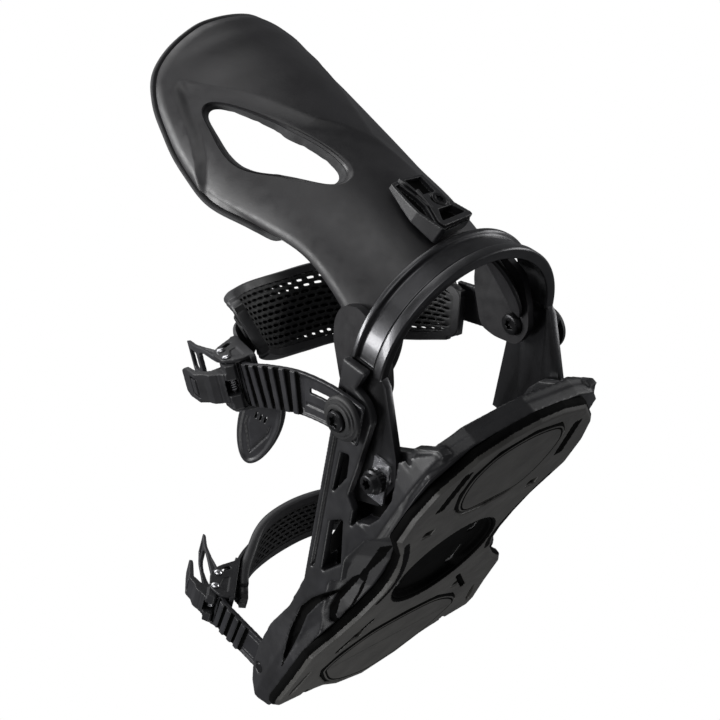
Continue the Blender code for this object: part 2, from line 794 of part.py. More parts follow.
def buckle(name, scale, along, width, entry, carrier, reach=1.0, lift=0.0):
    """Frame, ratchet lever, release pawl, their pins and the pawl spring, on a ladder."""
    matrix = strap_matrix(along, width)

    def local(obj):
        obj.data.transform(Matrix.Scale(scale, 4))
        return placed(obj, matrix, entry)

    base = [(-16.4, -6), (16.4, -6), (16.4, 36), (9, 44), (-9, 44), (-16.4, 36)]
    frame = prism(f"{name}_buckle_frame", nylon(), base, upright, -7.0, -3.6)
    cheek = [(-5, -4.5), (-5, 4), (2, 12.5), (16, 13.5), (24, 9), (34, -3.7), (34, -4.5)]
    for sign in (-1, 1):
        join(frame, prism("cheek", nylon(), cheek, sideways, sign * 14.2, sign * 16.4))
    for centre in (LEVER_PIVOT, PAWL_PIVOT):
        cut(frame, circle(1.9, centre, 16), sideways, -20, 20)

    lever = lever_body(f"{name}_ratchet_lever", reach, lift)
    pawl = pawl_body(f"{name}_release_pawl")
    pins = []
    head = [(-17.9, 2.0), (-17.4, 2.9), (-16.7, 2.9), (-16.7, 1.6)]
    profile = head + [(-along, radius) for along, radius in reversed(head)]
    for label, centre in (("lever", LEVER_PIVOT), ("pawl", PAWL_PIVOT)):
        pins.append(turned(f"{name}_{label}_pin", steel(), profile, (0, *centre), (1, 0, 0), 14))
    spring = pawl_spring(f"{name}_pawl_spring")
    made = {"frame": frame, "lever": lever, "pawl": pawl, "spring": spring}
    made |= {"lever_pin": pins[0], "pawl_pin": pins[1]}
    for obj in made.values():
        local(obj)
    for label, pivot in (("lever", LEVER_PIVOT), ("pawl", PAWL_PIVOT)):
        place = Vector(entry) + (matrix @ Vector((0, *pivot))) * scale
        hang(made[label], joint_empty(f"{name}_{label}_axis", place, carrier))
    return made


def lever_body(name, reach, lift):
    """A fork over the pawl, closed by a tapering plate with two openings at its free end."""
    side = [
        (13.5, 5.4), (17, 4.4), (21, 5.4), (31, 16), (46, 19.5), (60, 16), (70, 8.5), (71.5, 10.5), (62, 19),
        (47, 23), (29, 20.5), (14.5, 11.6),
    ]
    plate = prism(name, nylon(), side, sideways, -13.4, 13.4)
    cut(plate, [(-9.9, -5), (9.9, -5), (9.9, 47), (4, 50), (-4, 50), (-9.9, 47)], upright, -5, 40)
    taper = [(14, 40), (8.5, 78), (20, 78), (20, 40)]
    cut(plate, taper, upright, -5, 40)
    cut(plate, [(-x, y) for x, y in reversed(taper)], upright, -5, 40)
    cut(plate, [(-6.0, 53), (-1.4, 53), (-1.4, 65), (-4.6, 65)], upright, -5, 40)
    cut(plate, [(1.4, 53), (6.0, 53), (4.6, 65), (1.4, 65)], upright, -5, 40)
    pivot = Matrix.Translation(Vector((0, *LEVER_PIVOT)) * MM)
    shape = Matrix.Rotation(lift, 4, "X") @ Matrix.Diagonal((1, reach, 1, 1))
    plate.data.transform(pivot @ shape @ pivot.inverted())
    return cut(plate, circle(1.9, LEVER_PIVOT, 16), sideways, -20, 20)


def pawl_body(name):
    """A stepped block over the ladder, with a thumb tab that stands away from it."""
    side = [
        (-5.5, 7.5), (-4, 6.0), (10.2, 4.0), (11.6, 8), (10.6, 18), (16, 24.5), (35, 27.5), (34, 30),
        (14, 28), (9, 23.5), (4, 21.5), (-1, 15), (-4, 13),
    ]
    block = prism(name, nylon(), side, sideways, -13.6, 13.6)
    for sign in (-1, 1):
        for start, low in ((7.2, 0.0), (-20, 12.5)):
            beside = [(sign * 9.2, start), (sign * 20, start), (sign * 20, 45), (sign * 9.2, 45)]
            cut(block, beside, upright, low, 40)
    cut(block, [(-5.0, -8), (5.0, -8), (5.0, 9.6), (-5.0, 9.6)], upright, 0, 14)
    return cut(block, circle(1.9, PAWL_PIVOT, 16), sideways, -20, 20)


def pawl_spring(name):
    """A torsion spring wound round the pawl pin."""
    turns, steps, sides = 3, 10, 6
    wire, radius = 0.55, 2.9
    rings = []
    total = turns * steps
    for i in range(total + 1):
        turn = 2 * pi * i / steps
        x = -3.6 + 7.2 * i / total
        centre = Vector((x, PAWL_PIVOT[0] + radius * cos(turn), PAWL_PIVOT[1] + radius * sin(turn)))
        out = Vector((0, cos(turn), sin(turn)))
        corners = [2 * pi * k / sides for k in range(sides)]
        rings.append([centre + wire * (out * cos(t) + Vector((1, 0, 0)) * sin(t)) for t in corners])
    return smooth(loft(name, steel(), rings))


def ankle_ladder():
    centres = [(-68.6, -96, 47), (-68.6, -92.8, 56.2), (-69.0, -88.0, 68.0), (-70.2, -79.0, 83.0)]
    centres += [(-71.2, -67.0, 96.5), ANKLE_ENTRY, ANKLE_ENTRY + ANKLE_RUN * 16, ANKLE_ENTRY + ANKLE_RUN * 34]
    wide = Vector((0, -0.92, 0.39))
    widths = [wide, wide, wide, Vector((0, -0.8, 0.6)), Vector((-0.05, -0.74, 0.67))] + [ANKLE_WIDTH_NEAR] * 3
    strap = ladder("ankle_ladder", centres, widths, 11.3, 12, 0.40, 0.98)
    cut(strap, circle(3.6, (ANKLE_PIVOT.y, ANKLE_PIVOT.z), 20), sideways, -74, -64)
    return strap


def ankle_mount(sign, side):
    """The stepped cap, its screw and the nut behind the strut."""
    out = 70.3 if sign < 0 else 71.0
    axis = (sign, 0, 0)
    steps = [(out, 11.5), (out + 2.2, 11.5), (out + 3.4, 9.6), (out + 3.4, 8.0), (out + 4.6, 7.2)]
    turned(f"ankle_cap_{side}", nylon(), steps, ANKLE_PIVOT, axis, 32, bore=3.3)
    shank = [(60.6, 2.9), (out + 4.9, 2.9), (out + 4.9, 5.2), (out + 6.6, 5.0)]
    turned(f"ankle_screw_{side}", black_metal(), shank, ANKLE_PIVOT, axis, 20)
    turned(f"ankle_nut_{side}", steel(), [(60.5, 4.0), (66.0, 4.0)], ANKLE_PIVOT, axis, 20, bore=3.2)


ANKLE_PAD_CENTRES = [
    (-51, -56, 135), (-41.5, -43.5, 144), (-24, -32.5, 149), (0, -27.5, 150), (22, -30.5, 146),
    (41.5, -39, 133), (54.5, -50.5, 114.5), (59.5, -63.5, 95),
]
ANKLE_PAD_WIDTHS = [
    (-0.25, -0.5, 0.83), (-0.2, -0.42, 0.89), (-0.1, -0.37, 0.92), (0, -0.36, 0.93), (0.05, -0.45, 0.89),
    (0.1, -0.6, 0.8), (0.15, -0.7, 0.7), (0.15, -0.75, 0.64),
]


def ankle_pad():
    halves = [15.5, 18.5, 21, 21.5, 21.5, 21, 19, 14]
    return band("ankle_pad", strap_core(), ANKLE_PAD_CENTRES, ANKLE_PAD_WIDTHS, halves, 6.0, 3)


def ankle_connector():
    """The short strap from the far end of the pad to the far mount."""
    centres = [(68.6, -95.5, 48.5), (68.6, -92.8, 56.2), (69.4, -84, 69), (69.6, -72, 86), (66.6, -61, 104)]
    widths = [(0, -0.85, 0.53)] * 5
    strap = band("ankle_connector", ladder_plastic(), centres, widths, [11.5, 11.5, 10.5, 10.5, 10.5], 2.8, 3)
    return cut(strap, circle(3.6, (ANKLE_PIVOT.y, ANKLE_PIVOT.z), 20), sideways, 64, 74)


def ankle_tongue():
    """The padded tongue that hangs below the buckle."""
    centre = Vector((-55.8, -21.4, 98.4))
    run = Vector((-0.12, 0.97, 0.12)).normalized()
    wide = Vector((-0.35, -0.15, 0.92))
    wide = (wide - run * wide.dot(run)).normalized()
    out = wide.cross(run)
    rings = []
    for inset, depth in ((0.85, -3.0), (1.0, -1.5), (1.0, 1.2), (0.86, 2.6)):
        ring = []
        for i in range(20):
            t = 2 * pi * i / 20
            ring.append(centre + run * 30 * inset * cos(t) + wide * 13 * inset * sin(t) + out * depth)
        rings.append(ring)
    return smooth(loft("ankle_tongue", rubber(), rings), 50)


TOE_PAD_CENTRES = [
    (-50.4, 93.5, 59.4), (-42.2, 95, 70.3), (-29.4, 96, 79.9), (-15, 96, 86.3), (0, 95, 89), (18, 94, 89),
    (36, 92.5, 85), (50, 91, 75), (57.5, 89.5, 60),
]
TOE_PAD_WIDTHS = [(0, -0.97, 0.24)] * 3 + [(0, -0.9, 0.43)] + [(0, -0.85, 0.53)] * 5


def toe_pad():
    halves = [9, 11, 12.5, 13, 13, 13, 12.5, 11, 9.5]
    return band("toe_pad", strap_core(), TOE_PAD_CENTRES, TOE_PAD_WIDTHS, halves, 5.0, 3)


def toe_ladder():
    centres = [(-64.6, 86, 17.5), (-64.6, 87, 22), (-65.4, 88, 33), (-66.4, 89.5, 46), TOE_ENTRY,
               TOE_ENTRY + TOE_RUN * 10, TOE_ENTRY + TOE_RUN * 26]
    widths = [TOE_WIDTH_NEAR] * 7
    strap = ladder("toe_ladder", centres, widths, 9.6, 9, 0.46, 0.97)
    return cut(strap, circle(2.6, (TOE_PIVOT.y, TOE_PIVOT.z), 16), sideways, -70, -60)


def toe_connector():
    centres = [(64.6, 86, 17.5), (64.6, 87, 22), (65.4, 88, 34), (64.8, 89, 50), (61.6, 90, 66)]
    widths = [(0, -0.95, 0.3)] * 5
    strap = band("toe_connector", ladder_plastic(), centres, widths, [9, 9, 8.5, 8.5, 8.5], 2.6, 3)
    return cut(strap, circle(2.6, (TOE_PIVOT.y, TOE_PIVOT.z), 16), sideways, 60, 70)


def toe_pin(sign, side):
    profile = [(57.4, 2.2), (69.6, 2.2), (69.6, 2.7), (71.0, 2.7)]
    return turned(f"toe_pin_{side}", black_metal(), profile, TOE_PIVOT, (sign, 0, 0), 16)


# Assembly


def joint_empty(name, place, parent=None):
    empty = bpy.data.objects.new(name, None)
    empty.empty_display_size = 0.02
    bpy.context.scene.collection.objects.link(empty)
    empty.location = Vector(place) * MM
    bpy.context.view_layer.update()
    if parent:
        hang(empty, parent)
    return empty


def hang(obj, parent):
    """Parents without moving: the object keeps its place in the world."""
    bpy.context.view_layer.update()
    obj.parent = parent
    obj.matrix_parent_inverse = parent.matrix_world.inverted()


def build():
    clear_scene()
    base_plate()
    chassis()
    base_pad("toe_base_pad", TOE_PAD_HALF)
    base_pad("heel_base_pad", HEEL_PAD_HALF)
    toe_footbed()
    heel_footbed()
    hang(mounting_disc(), joint_empty("disc_axis", (0, 0, 0)))

    hoop_axis = joint_empty("hoop_slide_axis", HOOP_SCREW)
    hoop_pieces = [heel_hoop()]
    for sign, side in ((-1, "left"), (1, "right")):
        hoop_pieces += hoop_fasteners(sign, side)
    for piece in hoop_pieces:
        hang(piece, hoop_axis)

    highback_axis = joint_empty("highback_axis", HIGHBACK_PIVOT, hoop_axis)
    highback_pieces = [highback(), highback_liner()]
    for sign, side in ((-1, "left"), (1, "right")):
        highback_pieces += highback_fasteners(sign, side)
    highback_pieces += lean_adjuster()
    for piece in highback_pieces:
        hang(piece, highback_axis)

    ankle_axis = joint_empty("ankle_strap_axis", ANKLE_PIVOT)
    ankle_pieces = [ankle_ladder(), ankle_pad(), ankle_connector(), ankle_tongue()]
    for sign, side in ((-1, "left"), (1, "right")):
        ankle_mount(sign, side)
    start = ANKLE_ENTRY + ANKLE_RUN * 6
    ankle = buckle("ankle", ANKLE_BUCKLE_SCALE, ANKLE_RUN, ANKLE_WIDTH_NEAR, start, ankle_axis)
    ankle_pieces += [ankle[key] for key in ("frame", "lever_pin", "pawl_pin", "spring")]
    for piece in ankle_pieces:
        hang(piece, ankle_axis)

    toe_axis = joint_empty("toe_strap_axis", TOE_PIVOT)
    toe_pieces = [toe_ladder(), toe_pad(), toe_connector()]
    for sign, side in ((-1, "left"), (1, "right")):
        toe_pin(sign, side)
    start = TOE_ENTRY + TOE_RUN * 4
    lever_shape = {"reach": TOE_LEVER_REACH, "lift": TOE_LEVER_LIFT}
    toe = buckle("toe", TOE_BUCKLE_SCALE, TOE_RUN, TOE_WIDTH_NEAR, start, toe_axis, **lever_shape)
    toe_pieces += [toe[key] for key in ("frame", "lever_pin", "pawl_pin", "spring")]
    for piece in toe_pieces:
        hang(piece, toe_axis)


build()
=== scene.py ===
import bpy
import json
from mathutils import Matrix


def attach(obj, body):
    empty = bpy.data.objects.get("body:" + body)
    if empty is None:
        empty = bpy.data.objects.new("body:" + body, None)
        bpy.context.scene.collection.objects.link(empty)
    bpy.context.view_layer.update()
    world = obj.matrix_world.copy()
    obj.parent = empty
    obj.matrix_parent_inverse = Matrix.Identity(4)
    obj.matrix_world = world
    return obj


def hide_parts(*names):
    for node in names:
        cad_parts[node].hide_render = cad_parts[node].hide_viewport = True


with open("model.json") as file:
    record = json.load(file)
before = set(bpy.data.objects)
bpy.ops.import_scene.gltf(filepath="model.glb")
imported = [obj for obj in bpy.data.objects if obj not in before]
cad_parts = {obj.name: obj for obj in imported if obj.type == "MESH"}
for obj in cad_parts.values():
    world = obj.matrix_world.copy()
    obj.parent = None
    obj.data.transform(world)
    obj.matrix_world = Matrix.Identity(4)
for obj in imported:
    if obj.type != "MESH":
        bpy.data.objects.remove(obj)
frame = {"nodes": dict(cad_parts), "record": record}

"""The finished look of a strap-in snowboard binding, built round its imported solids.

Sizes here are in millimetres and become metres in the meshes. +Y points to the toe, +X to the
outer side of the foot and +Z up.
"""

import json
from math import cos, degrees, pi, radians, sin

import bmesh
import bpy
import numpy as np
from mathutils import Matrix, Vector
from mathutils.bvhtree import BVHTree

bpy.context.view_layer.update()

# Shapes that the solids and this model share

MM = 0.001
LEAN = radians(19.5)
ALONG = Vector((0, -cos(LEAN), sin(LEAN)))
ACROSS = Vector((0, sin(LEAN), cos(LEAN)))
ARM = (55.2, 59.1)
HOOP_APEX = Vector((0, -157.0, 91.0))
HOOP_HALF_WIDTH = 59.4
HOOP_DEPTH = 50.0
HOOP_SCREW = Vector((0, -72.5, 28.5))
HIGHBACK_PIVOT = Vector((0, -101.0, 62.0))
LEAN_HEIGHT = 112.5
LEAN_TURN = radians(7.5)
ANKLE_PIVOT = Vector((0, -92.8, 56.2))
ANKLE_ENTRY = Vector((-71.5, -55.0, 108.0))
ANKLE_RUN = Vector((0.4, 0.6, 0.69)).normalized()
ANKLE_WIDTH_NEAR = Vector((-0.1, -0.72, 0.685))
TOE_PIVOT = Vector((0, 87.0, 22.0))
TOE_ENTRY = Vector((-66.5, 91.5, 60.0))
TOE_RUN = Vector((0.72, 0.152, 0.677)).normalized()
TOE_WIDTH_NEAR = Vector((0, -0.975, 0.22))
LEVER_PIVOT = (17.0, 8.0)
PAWL_PIVOT = (3.5, 8.5)
ANKLE_BUCKLE_SCALE = 0.84
TOE_BUCKLE_SCALE = 0.72
TOE_LEVER_REACH = 0.85
TOE_LEVER_LIFT = radians(10)
SIDES = ((-1, "left"), (1, "right"))
ROUND = 48
NODE_BODY = {node: body for body, nodes in frame["record"]["behaviour"]["bodies"].items() for node in nodes}


# Materials

class Look:
    """A node material under construction: small helpers over one node tree."""

    def __init__(self, name):
        self.material = bpy.data.materials.new(name)
        self.material.use_nodes = True
        self.tree = self.material.node_tree
        self.shader = self.tree.nodes["Principled BSDF"]
        place = self.node("ShaderNodeTexCoord").outputs["Object"]
        scale = self.node("ShaderNodeVectorMath", operation="SCALE")
        scale.inputs["Scale"].default_value = 1 / MM
        self.link(place, scale.inputs[0])
        self.place = scale.outputs[0]

    def node(self, kind, **settings):
        made = self.tree.nodes.new(kind)
        for key, value in settings.items():
            setattr(made, key, value)
        return made

    def link(self, source, target):
        self.tree.links.new(source, target)

    def noise(self, size, detail=3.0, stretch=None, roughness=0.5):
        """Noise whose features are about the given size in millimetres."""
        place = self.place
        if stretch:
            mapping = self.node("ShaderNodeMapping")
            mapping.inputs["Scale"].default_value = stretch
            self.link(place, mapping.inputs["Vector"])
            place = mapping.outputs["Vector"]
        made = self.node("ShaderNodeTexNoise")
        made.inputs["Scale"].default_value = 1 / size
        made.inputs["Detail"].default_value = detail
        made.inputs["Roughness"].default_value = roughness
        self.link(place, made.inputs["Vector"])
        return made.outputs["Fac"]

    def cells(self, size):
        made = self.node("ShaderNodeTexVoronoi")
        made.inputs["Scale"].default_value = 1 / size
        self.link(self.place, made.inputs["Vector"])
        return made.outputs["Distance"]

    def spread(self, value, low, high, start=0.3, end=0.7):
        """Maps start..end of a value to low..high."""
        made = self.node("ShaderNodeMapRange")
        for key, number in (("From Min", start), ("From Max", end), ("To Min", low), ("To Max", high)):
            made.inputs[key].default_value = number
        self.link(value, made.inputs["Value"])
        return made.outputs["Result"]

    def maths(self, operation, a, b):
        made = self.node("ShaderNodeMath", operation=operation)
        for socket, value in zip(made.inputs, (a, b)):
            if isinstance(value, (int, float)):
                socket.default_value = value
            else:
                self.link(value, socket)
        return made.outputs[0]

    def mix(self, share, first, second):
        made = self.node("ShaderNodeMix", data_type="RGBA")
        self.link(share, made.inputs["Factor"])
        for socket, colour in zip((made.inputs["A"], made.inputs["B"]), (first, second)):
            if isinstance(colour, tuple):
                socket.default_value = (*colour, 1.0)
            else:
                self.link(colour, socket)
        return made.outputs["Result"]

    def edges(self, start=0.52, end=0.62):
        """How far a point lies on an outer edge, 0 to 1."""
        geometry = self.node("ShaderNodeNewGeometry")
        return self.spread(geometry.outputs["Pointiness"], 0.0, 1.0, start, end)

    def bump(self, layers):
        """Stacks (height, depth in millimetres) layers."""
        normal = None
        for height, depth in layers:
            made = self.node("ShaderNodeBump")
            made.inputs["Distance"].default_value = depth * MM
            self.link(height, made.inputs["Height"])
            if normal is not None:
                self.link(normal, made.inputs["Normal"])
            normal = made.outputs["Normal"]
        self.link(normal, self.shader.inputs["Normal"])

    def set(self, key, value):
        if isinstance(value, (int, float)):
            self.shader.inputs[key].default_value = value
        else:
            self.link(value, self.shader.inputs[key])


def moulded_plastic(name, dark, light, roughness, grain=0.28, depth=0.035, edge_wear_and_highlight=0.35, shine=0.5):
    """Moulded nylon: eroded grain, cloudy flow marks, and outer edges painted a little lighter, partly as
    rubbed wear and partly as painted highlight.
    """
    look = Look(name)
    clouds = look.noise(17.0, 4.0)
    body = look.mix(look.spread(clouds, 0.0, 1.0), dark, light)
    # Outer edges painted lighter: partly rubbed wear, partly a painted highlight where rounded edges catch the
    # light.
    worn_and_lit_edge = tuple(channel * 1.6 + 0.012 for channel in light)
    rubbed_and_lit_edges = look.maths("MULTIPLY", look.edges(), look.spread(look.noise(2.5, 4.0), 0.0, edge_wear_and_highlight))
    look.set("Base Color", look.mix(rubbed_and_lit_edges, body, worn_and_lit_edge))
    fine = look.noise(grain, 2.0)
    blotch = look.spread(look.noise(6.0, 3.0), roughness - 0.05, roughness + 0.06)
    look.set("Roughness", blotch)
    look.set("Specular IOR Level", shine)
    look.bump([(look.noise(1.1, 3.0), depth * 0.8), (fine, depth)])
    return look.material


def foam(name, dark, light):
    """Closed-cell foam with a leathery skin."""
    look = Look(name)
    look.set("Base Color", look.mix(look.spread(look.noise(9.0, 4.0), 0.0, 1.0), dark, light))
    look.set("Roughness", look.spread(look.noise(3.0), 0.66, 0.82))
    look.set("Sheen Weight", 0.15)
    look.bump([(look.cells(0.55), 0.06), (look.noise(0.25, 2.0), 0.03)])
    return look.material


def metal(name, dark, light, roughness, brushed, metallic=1.0, coat=0.0):
    """Metal with fine brushing along one axis."""
    look = Look(name)
    look.set("Base Color", look.mix(look.spread(look.noise(8.0), 0.0, 1.0), dark, light))
    strokes = look.noise(0.6, 2.0, stretch=brushed)
    look.set("Roughness", look.spread(strokes, roughness * 0.85, roughness * 1.2))
    look.set("Metallic", metallic)
    look.set("Coat Weight", coat)
    look.set("Coat Roughness", 0.08)
    look.bump([(strokes, 0.004)])
    return look.material


LOOKS = {
    "nylon": moulded_plastic(
        "moulded_nylon", (0.010, 0.010, 0.011), (0.019, 0.019, 0.021), 0.42, shine=0.4),
    "shell": moulded_plastic(
        "shell_nylon", (0.010, 0.0095, 0.0105), (0.0165, 0.016, 0.0175), 0.42, 0.22, 0.016, 0.2),
    "frame_nylon": moulded_plastic("frame_nylon", (0.032, 0.0305, 0.0275), (0.056, 0.054, 0.049), 0.46),
    "foam": foam("foam", (0.011, 0.011, 0.012), (0.020, 0.020, 0.022)),
    "strap_rubber": moulded_plastic(
        "strap_rubber", (0.013, 0.013, 0.015), (0.026, 0.026, 0.029), 0.46, 0.35, 0.03, 0.3),
    "strap_core": moulded_plastic(
        "strap_core", (0.0045, 0.0045, 0.005), (0.010, 0.010, 0.011), 0.58, 0.3, 0.03, 0.1),
    # Near-black look that paints shade into recesses, gaps and faces turned away from the lamps.
    "painted_shade": moulded_plastic(
        "painted_shade_nylon", (0.0012, 0.0012, 0.0012), (0.0028, 0.0028, 0.0028), 0.8, 0.3, 0.03, 0.0, 0.05),
    "sole": moulded_plastic(
        "sole_foam", (0.031, 0.030, 0.027), (0.053, 0.051, 0.0465), 0.52, 0.3, 0.03, 0.2),
    "border": moulded_plastic(
        "strap_border", (0.014, 0.014, 0.015), (0.028, 0.028, 0.030), 0.44, 0.3, 0.03, 0.2),
    "ladder": moulded_plastic(
        "ladder_plastic", (0.012, 0.012, 0.0135), (0.023, 0.023, 0.026), 0.40, 0.25, 0.02, 0.4, 0.4),
    "lever": moulded_plastic(
        "lever_plastic", (0.014, 0.014, 0.016), (0.028, 0.028, 0.031), 0.36, 0.25, 0.02, 0.5),
    "anodised": metal(
        "black_anodised", (0.045, 0.045, 0.047), (0.060, 0.060, 0.063), 0.33, (0.1, 1, 1), 0.9, 0.25),
    "black_metal": metal("black_metal", (0.018, 0.018, 0.019), (0.034, 0.034, 0.036), 0.30, (1, 1, 1), 0.8),
    "steel": metal("bright_steel", (0.55, 0.55, 0.57), (0.72, 0.72, 0.74), 0.22, (1, 0.15, 1)),
}


# Outlines

def circle(radius, centre=(0.0, 0.0), count=ROUND, phase=0.0):
    turns = [phase + 2 * pi * i / count for i in range(count)]
    return [(centre[0] + radius * cos(t), centre[1] + radius * sin(t)) for t in turns]


def slot_outline(start, end, radius, count=10):
    """A long hole with round ends, between two centres."""
    start, end = Vector(start), Vector(end)
    run = (end - start).normalized()
    side = Vector((-run.y, run.x))
    points = []
    for centre, sign in ((end, 1), (start, -1)):
        for i in range(count + 1):
            turn = pi * i / count
            points.append(centre + radius * sign * (side * -cos(turn) + run * sin(turn)))
    return [tuple(point) for point in points]


def mirrored(outline):
    """A half outline on the +X side, completed with its mirror image."""
    return list(outline) + [(-x, y) for x, y in reversed(outline) if abs(x) > 1e-6]


def rounded(outline, radius, steps=4):
    """The outline with its corners replaced by arcs, as large as the sides allow."""
    points = [Vector(p) for p in outline]
    result = []
    for i, here in enumerate(points):
        before, after = points[i - 1], points[(i + 1) % len(points)]
        back, ahead = (before - here), (after - here)
        reach = min(radius, back.length * 0.45, ahead.length * 0.45)
        a, b = here + back.normalized() * reach, here + ahead.normalized() * reach
        for k in range(steps + 1):
            t = k / steps
            result.append(tuple(a * (1 - t) ** 2 + here * 2 * t * (1 - t) + b * t * t))
    return result


def between(a, b, c, d, t):
    """A point between b and c on a smooth curve through four points."""
    return (
        0.5 * (2 * b + (c - a) * t + (2 * a - 5 * b + 4 * c - d) * t**2)
        + 0.5 * (3 * b - a - 3 * c + d) * t**3
    )


def spline(points, steps):
    """A smooth curve through the points, with the given number of steps between two of them."""
    points = [Vector(p) for p in points]
    padded = [2 * points[0] - points[1], *points, 2 * points[-1] - points[-2]]
    runs = [padded[i : i + 4] for i in range(len(padded) - 3)]
    return [between(*run, k / steps) for run in runs for k in range(steps)] + [points[-1]]


def loop(points, steps):
    """A smooth closed curve through the points."""
    points = [Vector(p) for p in points]
    count = len(points)
    curve = []
    for i in range(count):
        near = [points[(i + k) % count] for k in (-1, 0, 1, 2)]
        curve += [tuple(between(*near, k / steps)) for k in range(steps)]
    return curve


def winding(outline):
    return sum(a[0] * b[1] - b[0] * a[1] for a, b in zip(outline, outline[1:] + outline[:1]))


def anticlockwise(outline):
    return outline[::-1] if winding(outline) < 0 else outline


def grown(outline, amount):
    """The outline moved outwards by an amount, corner by corner. It runs anticlockwise."""
    count = len(outline)
    result = []
    for i in range(count):
        before, here, after = (Vector(outline[(i + k) % count]) for k in (-1, 0, 1))
        first = (here - before).normalized()
        second = (after - here).normalized()
        normal = Vector((first.y, -first.x)) + Vector((second.y, -second.x))
        result.append(tuple(here + normal.normalized() * amount))
    return result


def even(points, count, passes):
    """A closed outline with evenly spaced points, its corners eased by averaging neighbours."""
    pts = np.array([tuple(p) for p in points])
    around = np.vstack([pts, pts[:1]])
    marks = np.concatenate([[0], np.cumsum(np.linalg.norm(np.diff(around, axis=0), axis=1))])
    wanted = np.linspace(0, marks[-1], count, endpoint=False)
    result = np.stack([np.interp(wanted, marks, around[:, k]) for k in (0, 1)], axis=1)
    for _ in range(passes):
        result = (np.roll(result, 1, axis=0) + 2 * result + np.roll(result, -1, axis=0)) / 4
    return [tuple(p) for p in result]


def inside(outline, u, v):
    """Whether a point lies in an outline."""
    hit = False
    for (a, b), (c, d) in zip(outline, outline[1:] + outline[:1]):
        if (b > v) != (d > v) and u < (c - a) * (v - b) / (d - b) + a:
            hit = not hit
    return hit


def distance_to(outline, x, y):
    """The distance of a point to a run of straight pieces."""
    a, b = outline[:-1], outline[1:]
    run = b - a
    place = np.array((x, y)) - a
    share = np.clip((place * run).sum(1) / np.maximum((run * run).sum(1), 1e-9), 0, 1)
    return float(np.sqrt((((place - run * share[:, None])) ** 2).sum(1)).min())


def step(x):
    """A smooth step from 0 to 1."""
    x = np.clip(x, 0.0, 1.0)
    return x * x * (3 - 2 * x)


# Mesh tools

def object_from(mesh_data, name):
    mesh = bpy.data.meshes.new(name)
    bmesh.ops.recalc_face_normals(mesh_data, faces=mesh_data.faces)
    mesh_data.to_mesh(mesh)
    mesh_data.free()
    obj = bpy.data.objects.new(name, mesh)
    bpy.context.scene.collection.objects.link(obj)
    return obj


def skin(mesh_data, rings, closed=False):
    """Adds a skin over rings of equal length, capped at both ends unless the rings run in a circle."""
    rows = [[mesh_data.verts.new(Vector(point) * MM) for point in ring] for ring in rings]
    count = len(rings[0])
    pairs = list(zip(rows, rows[1:]))
    if closed:
        pairs.append((rows[-1], rows[0]))
    for low, high in pairs:
        for i in range(count):
            k = (i + 1) % count
            mesh_data.faces.new((low[i], low[k], high[k], high[i]))
    if not closed:
        mesh_data.faces.new(rows[0])
        mesh_data.faces.new(rows[-1])


def loft(name, *skins, closed=False):
    """One object from one or more lists of rings."""
    mesh_data = bmesh.new()
    for rings in skins:
        skin(mesh_data, rings, closed)
    return object_from(mesh_data, name)


def prism(outline, place, low, high):
    """Rings for an outline of (u, v) pairs extruded from low to high. place(u, v, w) gives each corner."""
    return [[place(u, v, w) for u, v in outline] for w in (low, high)]


def upright(u, v, w):
    return (u, v, w)


def sideways(u, v, w):
    """Outlines in Y and Z, extruded along X."""
    return (w, u, v)


def evaluated_mesh(obj):
    bpy.context.view_layer.update()
    return bpy.data.meshes.new_from_object(obj.evaluated_get(bpy.context.evaluated_depsgraph_get()))


def apply_modifiers(obj):
    mesh = evaluated_mesh(obj)
    obj.modifiers.clear()
    obj.data = mesh
    return obj


def combine(target, tool, operation="DIFFERENCE"):
    """Applies an exact Boolean and removes the tool."""
    modifier = target.modifiers.new("combine", "BOOLEAN")
    modifier.operation = operation
    modifier.object = tool
    apply_modifiers(target)
    bpy.data.objects.remove(tool, do_unlink=True)
    return target


def cut(target, *skins):
    return combine(target, loft("cutter", *skins))


def join(target, *others):
    for other in others:
        combine(target, other, "UNION")
    return target


def copy_of(node, name):
    """A new object with a solid's mesh, its corners welded, ready to be worked on."""
    mesh_data = bmesh.new()
    mesh_data.from_mesh(frame["nodes"][node].data)
    bmesh.ops.remove_doubles(mesh_data, verts=mesh_data.verts, dist=2e-6)
    return object_from(mesh_data, name)


def moulded(obj, voxel, passes=3):
    """A fine even skin whose edges are eased, like a part out of a mould."""
    remesh = obj.modifiers.new("skin", "REMESH")
    remesh.mode = "VOXEL"
    remesh.voxel_size = voxel * MM
    remesh.use_smooth_shade = True
    ease = obj.modifiers.new("ease", "SMOOTH")
    ease.factor = 0.5
    ease.iterations = passes
    return apply_modifiers(obj)


def smooth(obj, angle=40):
    obj.data.shade_smooth()
    obj.data.set_sharp_from_angle(angle=radians(angle))
    return obj


def bevelled(obj, width=0.4, segments=2, angle=35):
    modifier = obj.modifiers.new("edges", "BEVEL")
    modifier.width = width * MM
    modifier.segments = segments
    modifier.limit_method = "ANGLE"
    modifier.angle_limit = radians(angle)
    apply_modifiers(obj)
    return smooth(obj)


def placed(obj, matrix, origin):
    obj.data.transform(Matrix.Translation(Vector(origin) * MM) @ matrix)
    obj.data.update()
    return obj


def turned(name, profile, centre, axis, count=ROUND, bore=0.0):
    """A round piece from (distance along axis, radius) pairs, with an optional bore through it."""
    axis = Vector(axis).normalized()
    side = axis.orthogonal().normalized()
    other = axis.cross(side)
    centre = Vector(centre)

    def ring(along, radius):
        turns = [2 * pi * i / count for i in range(count)]
        return [centre + axis * along + radius * (side * cos(t) + other * sin(t)) for t in turns]

    rings = [ring(along, radius) for along, radius in profile]
    if bore:
        rings += [ring(profile[-1][0], bore), ring(profile[0][0], bore)]
    return loft(name, rings, closed=bool(bore))


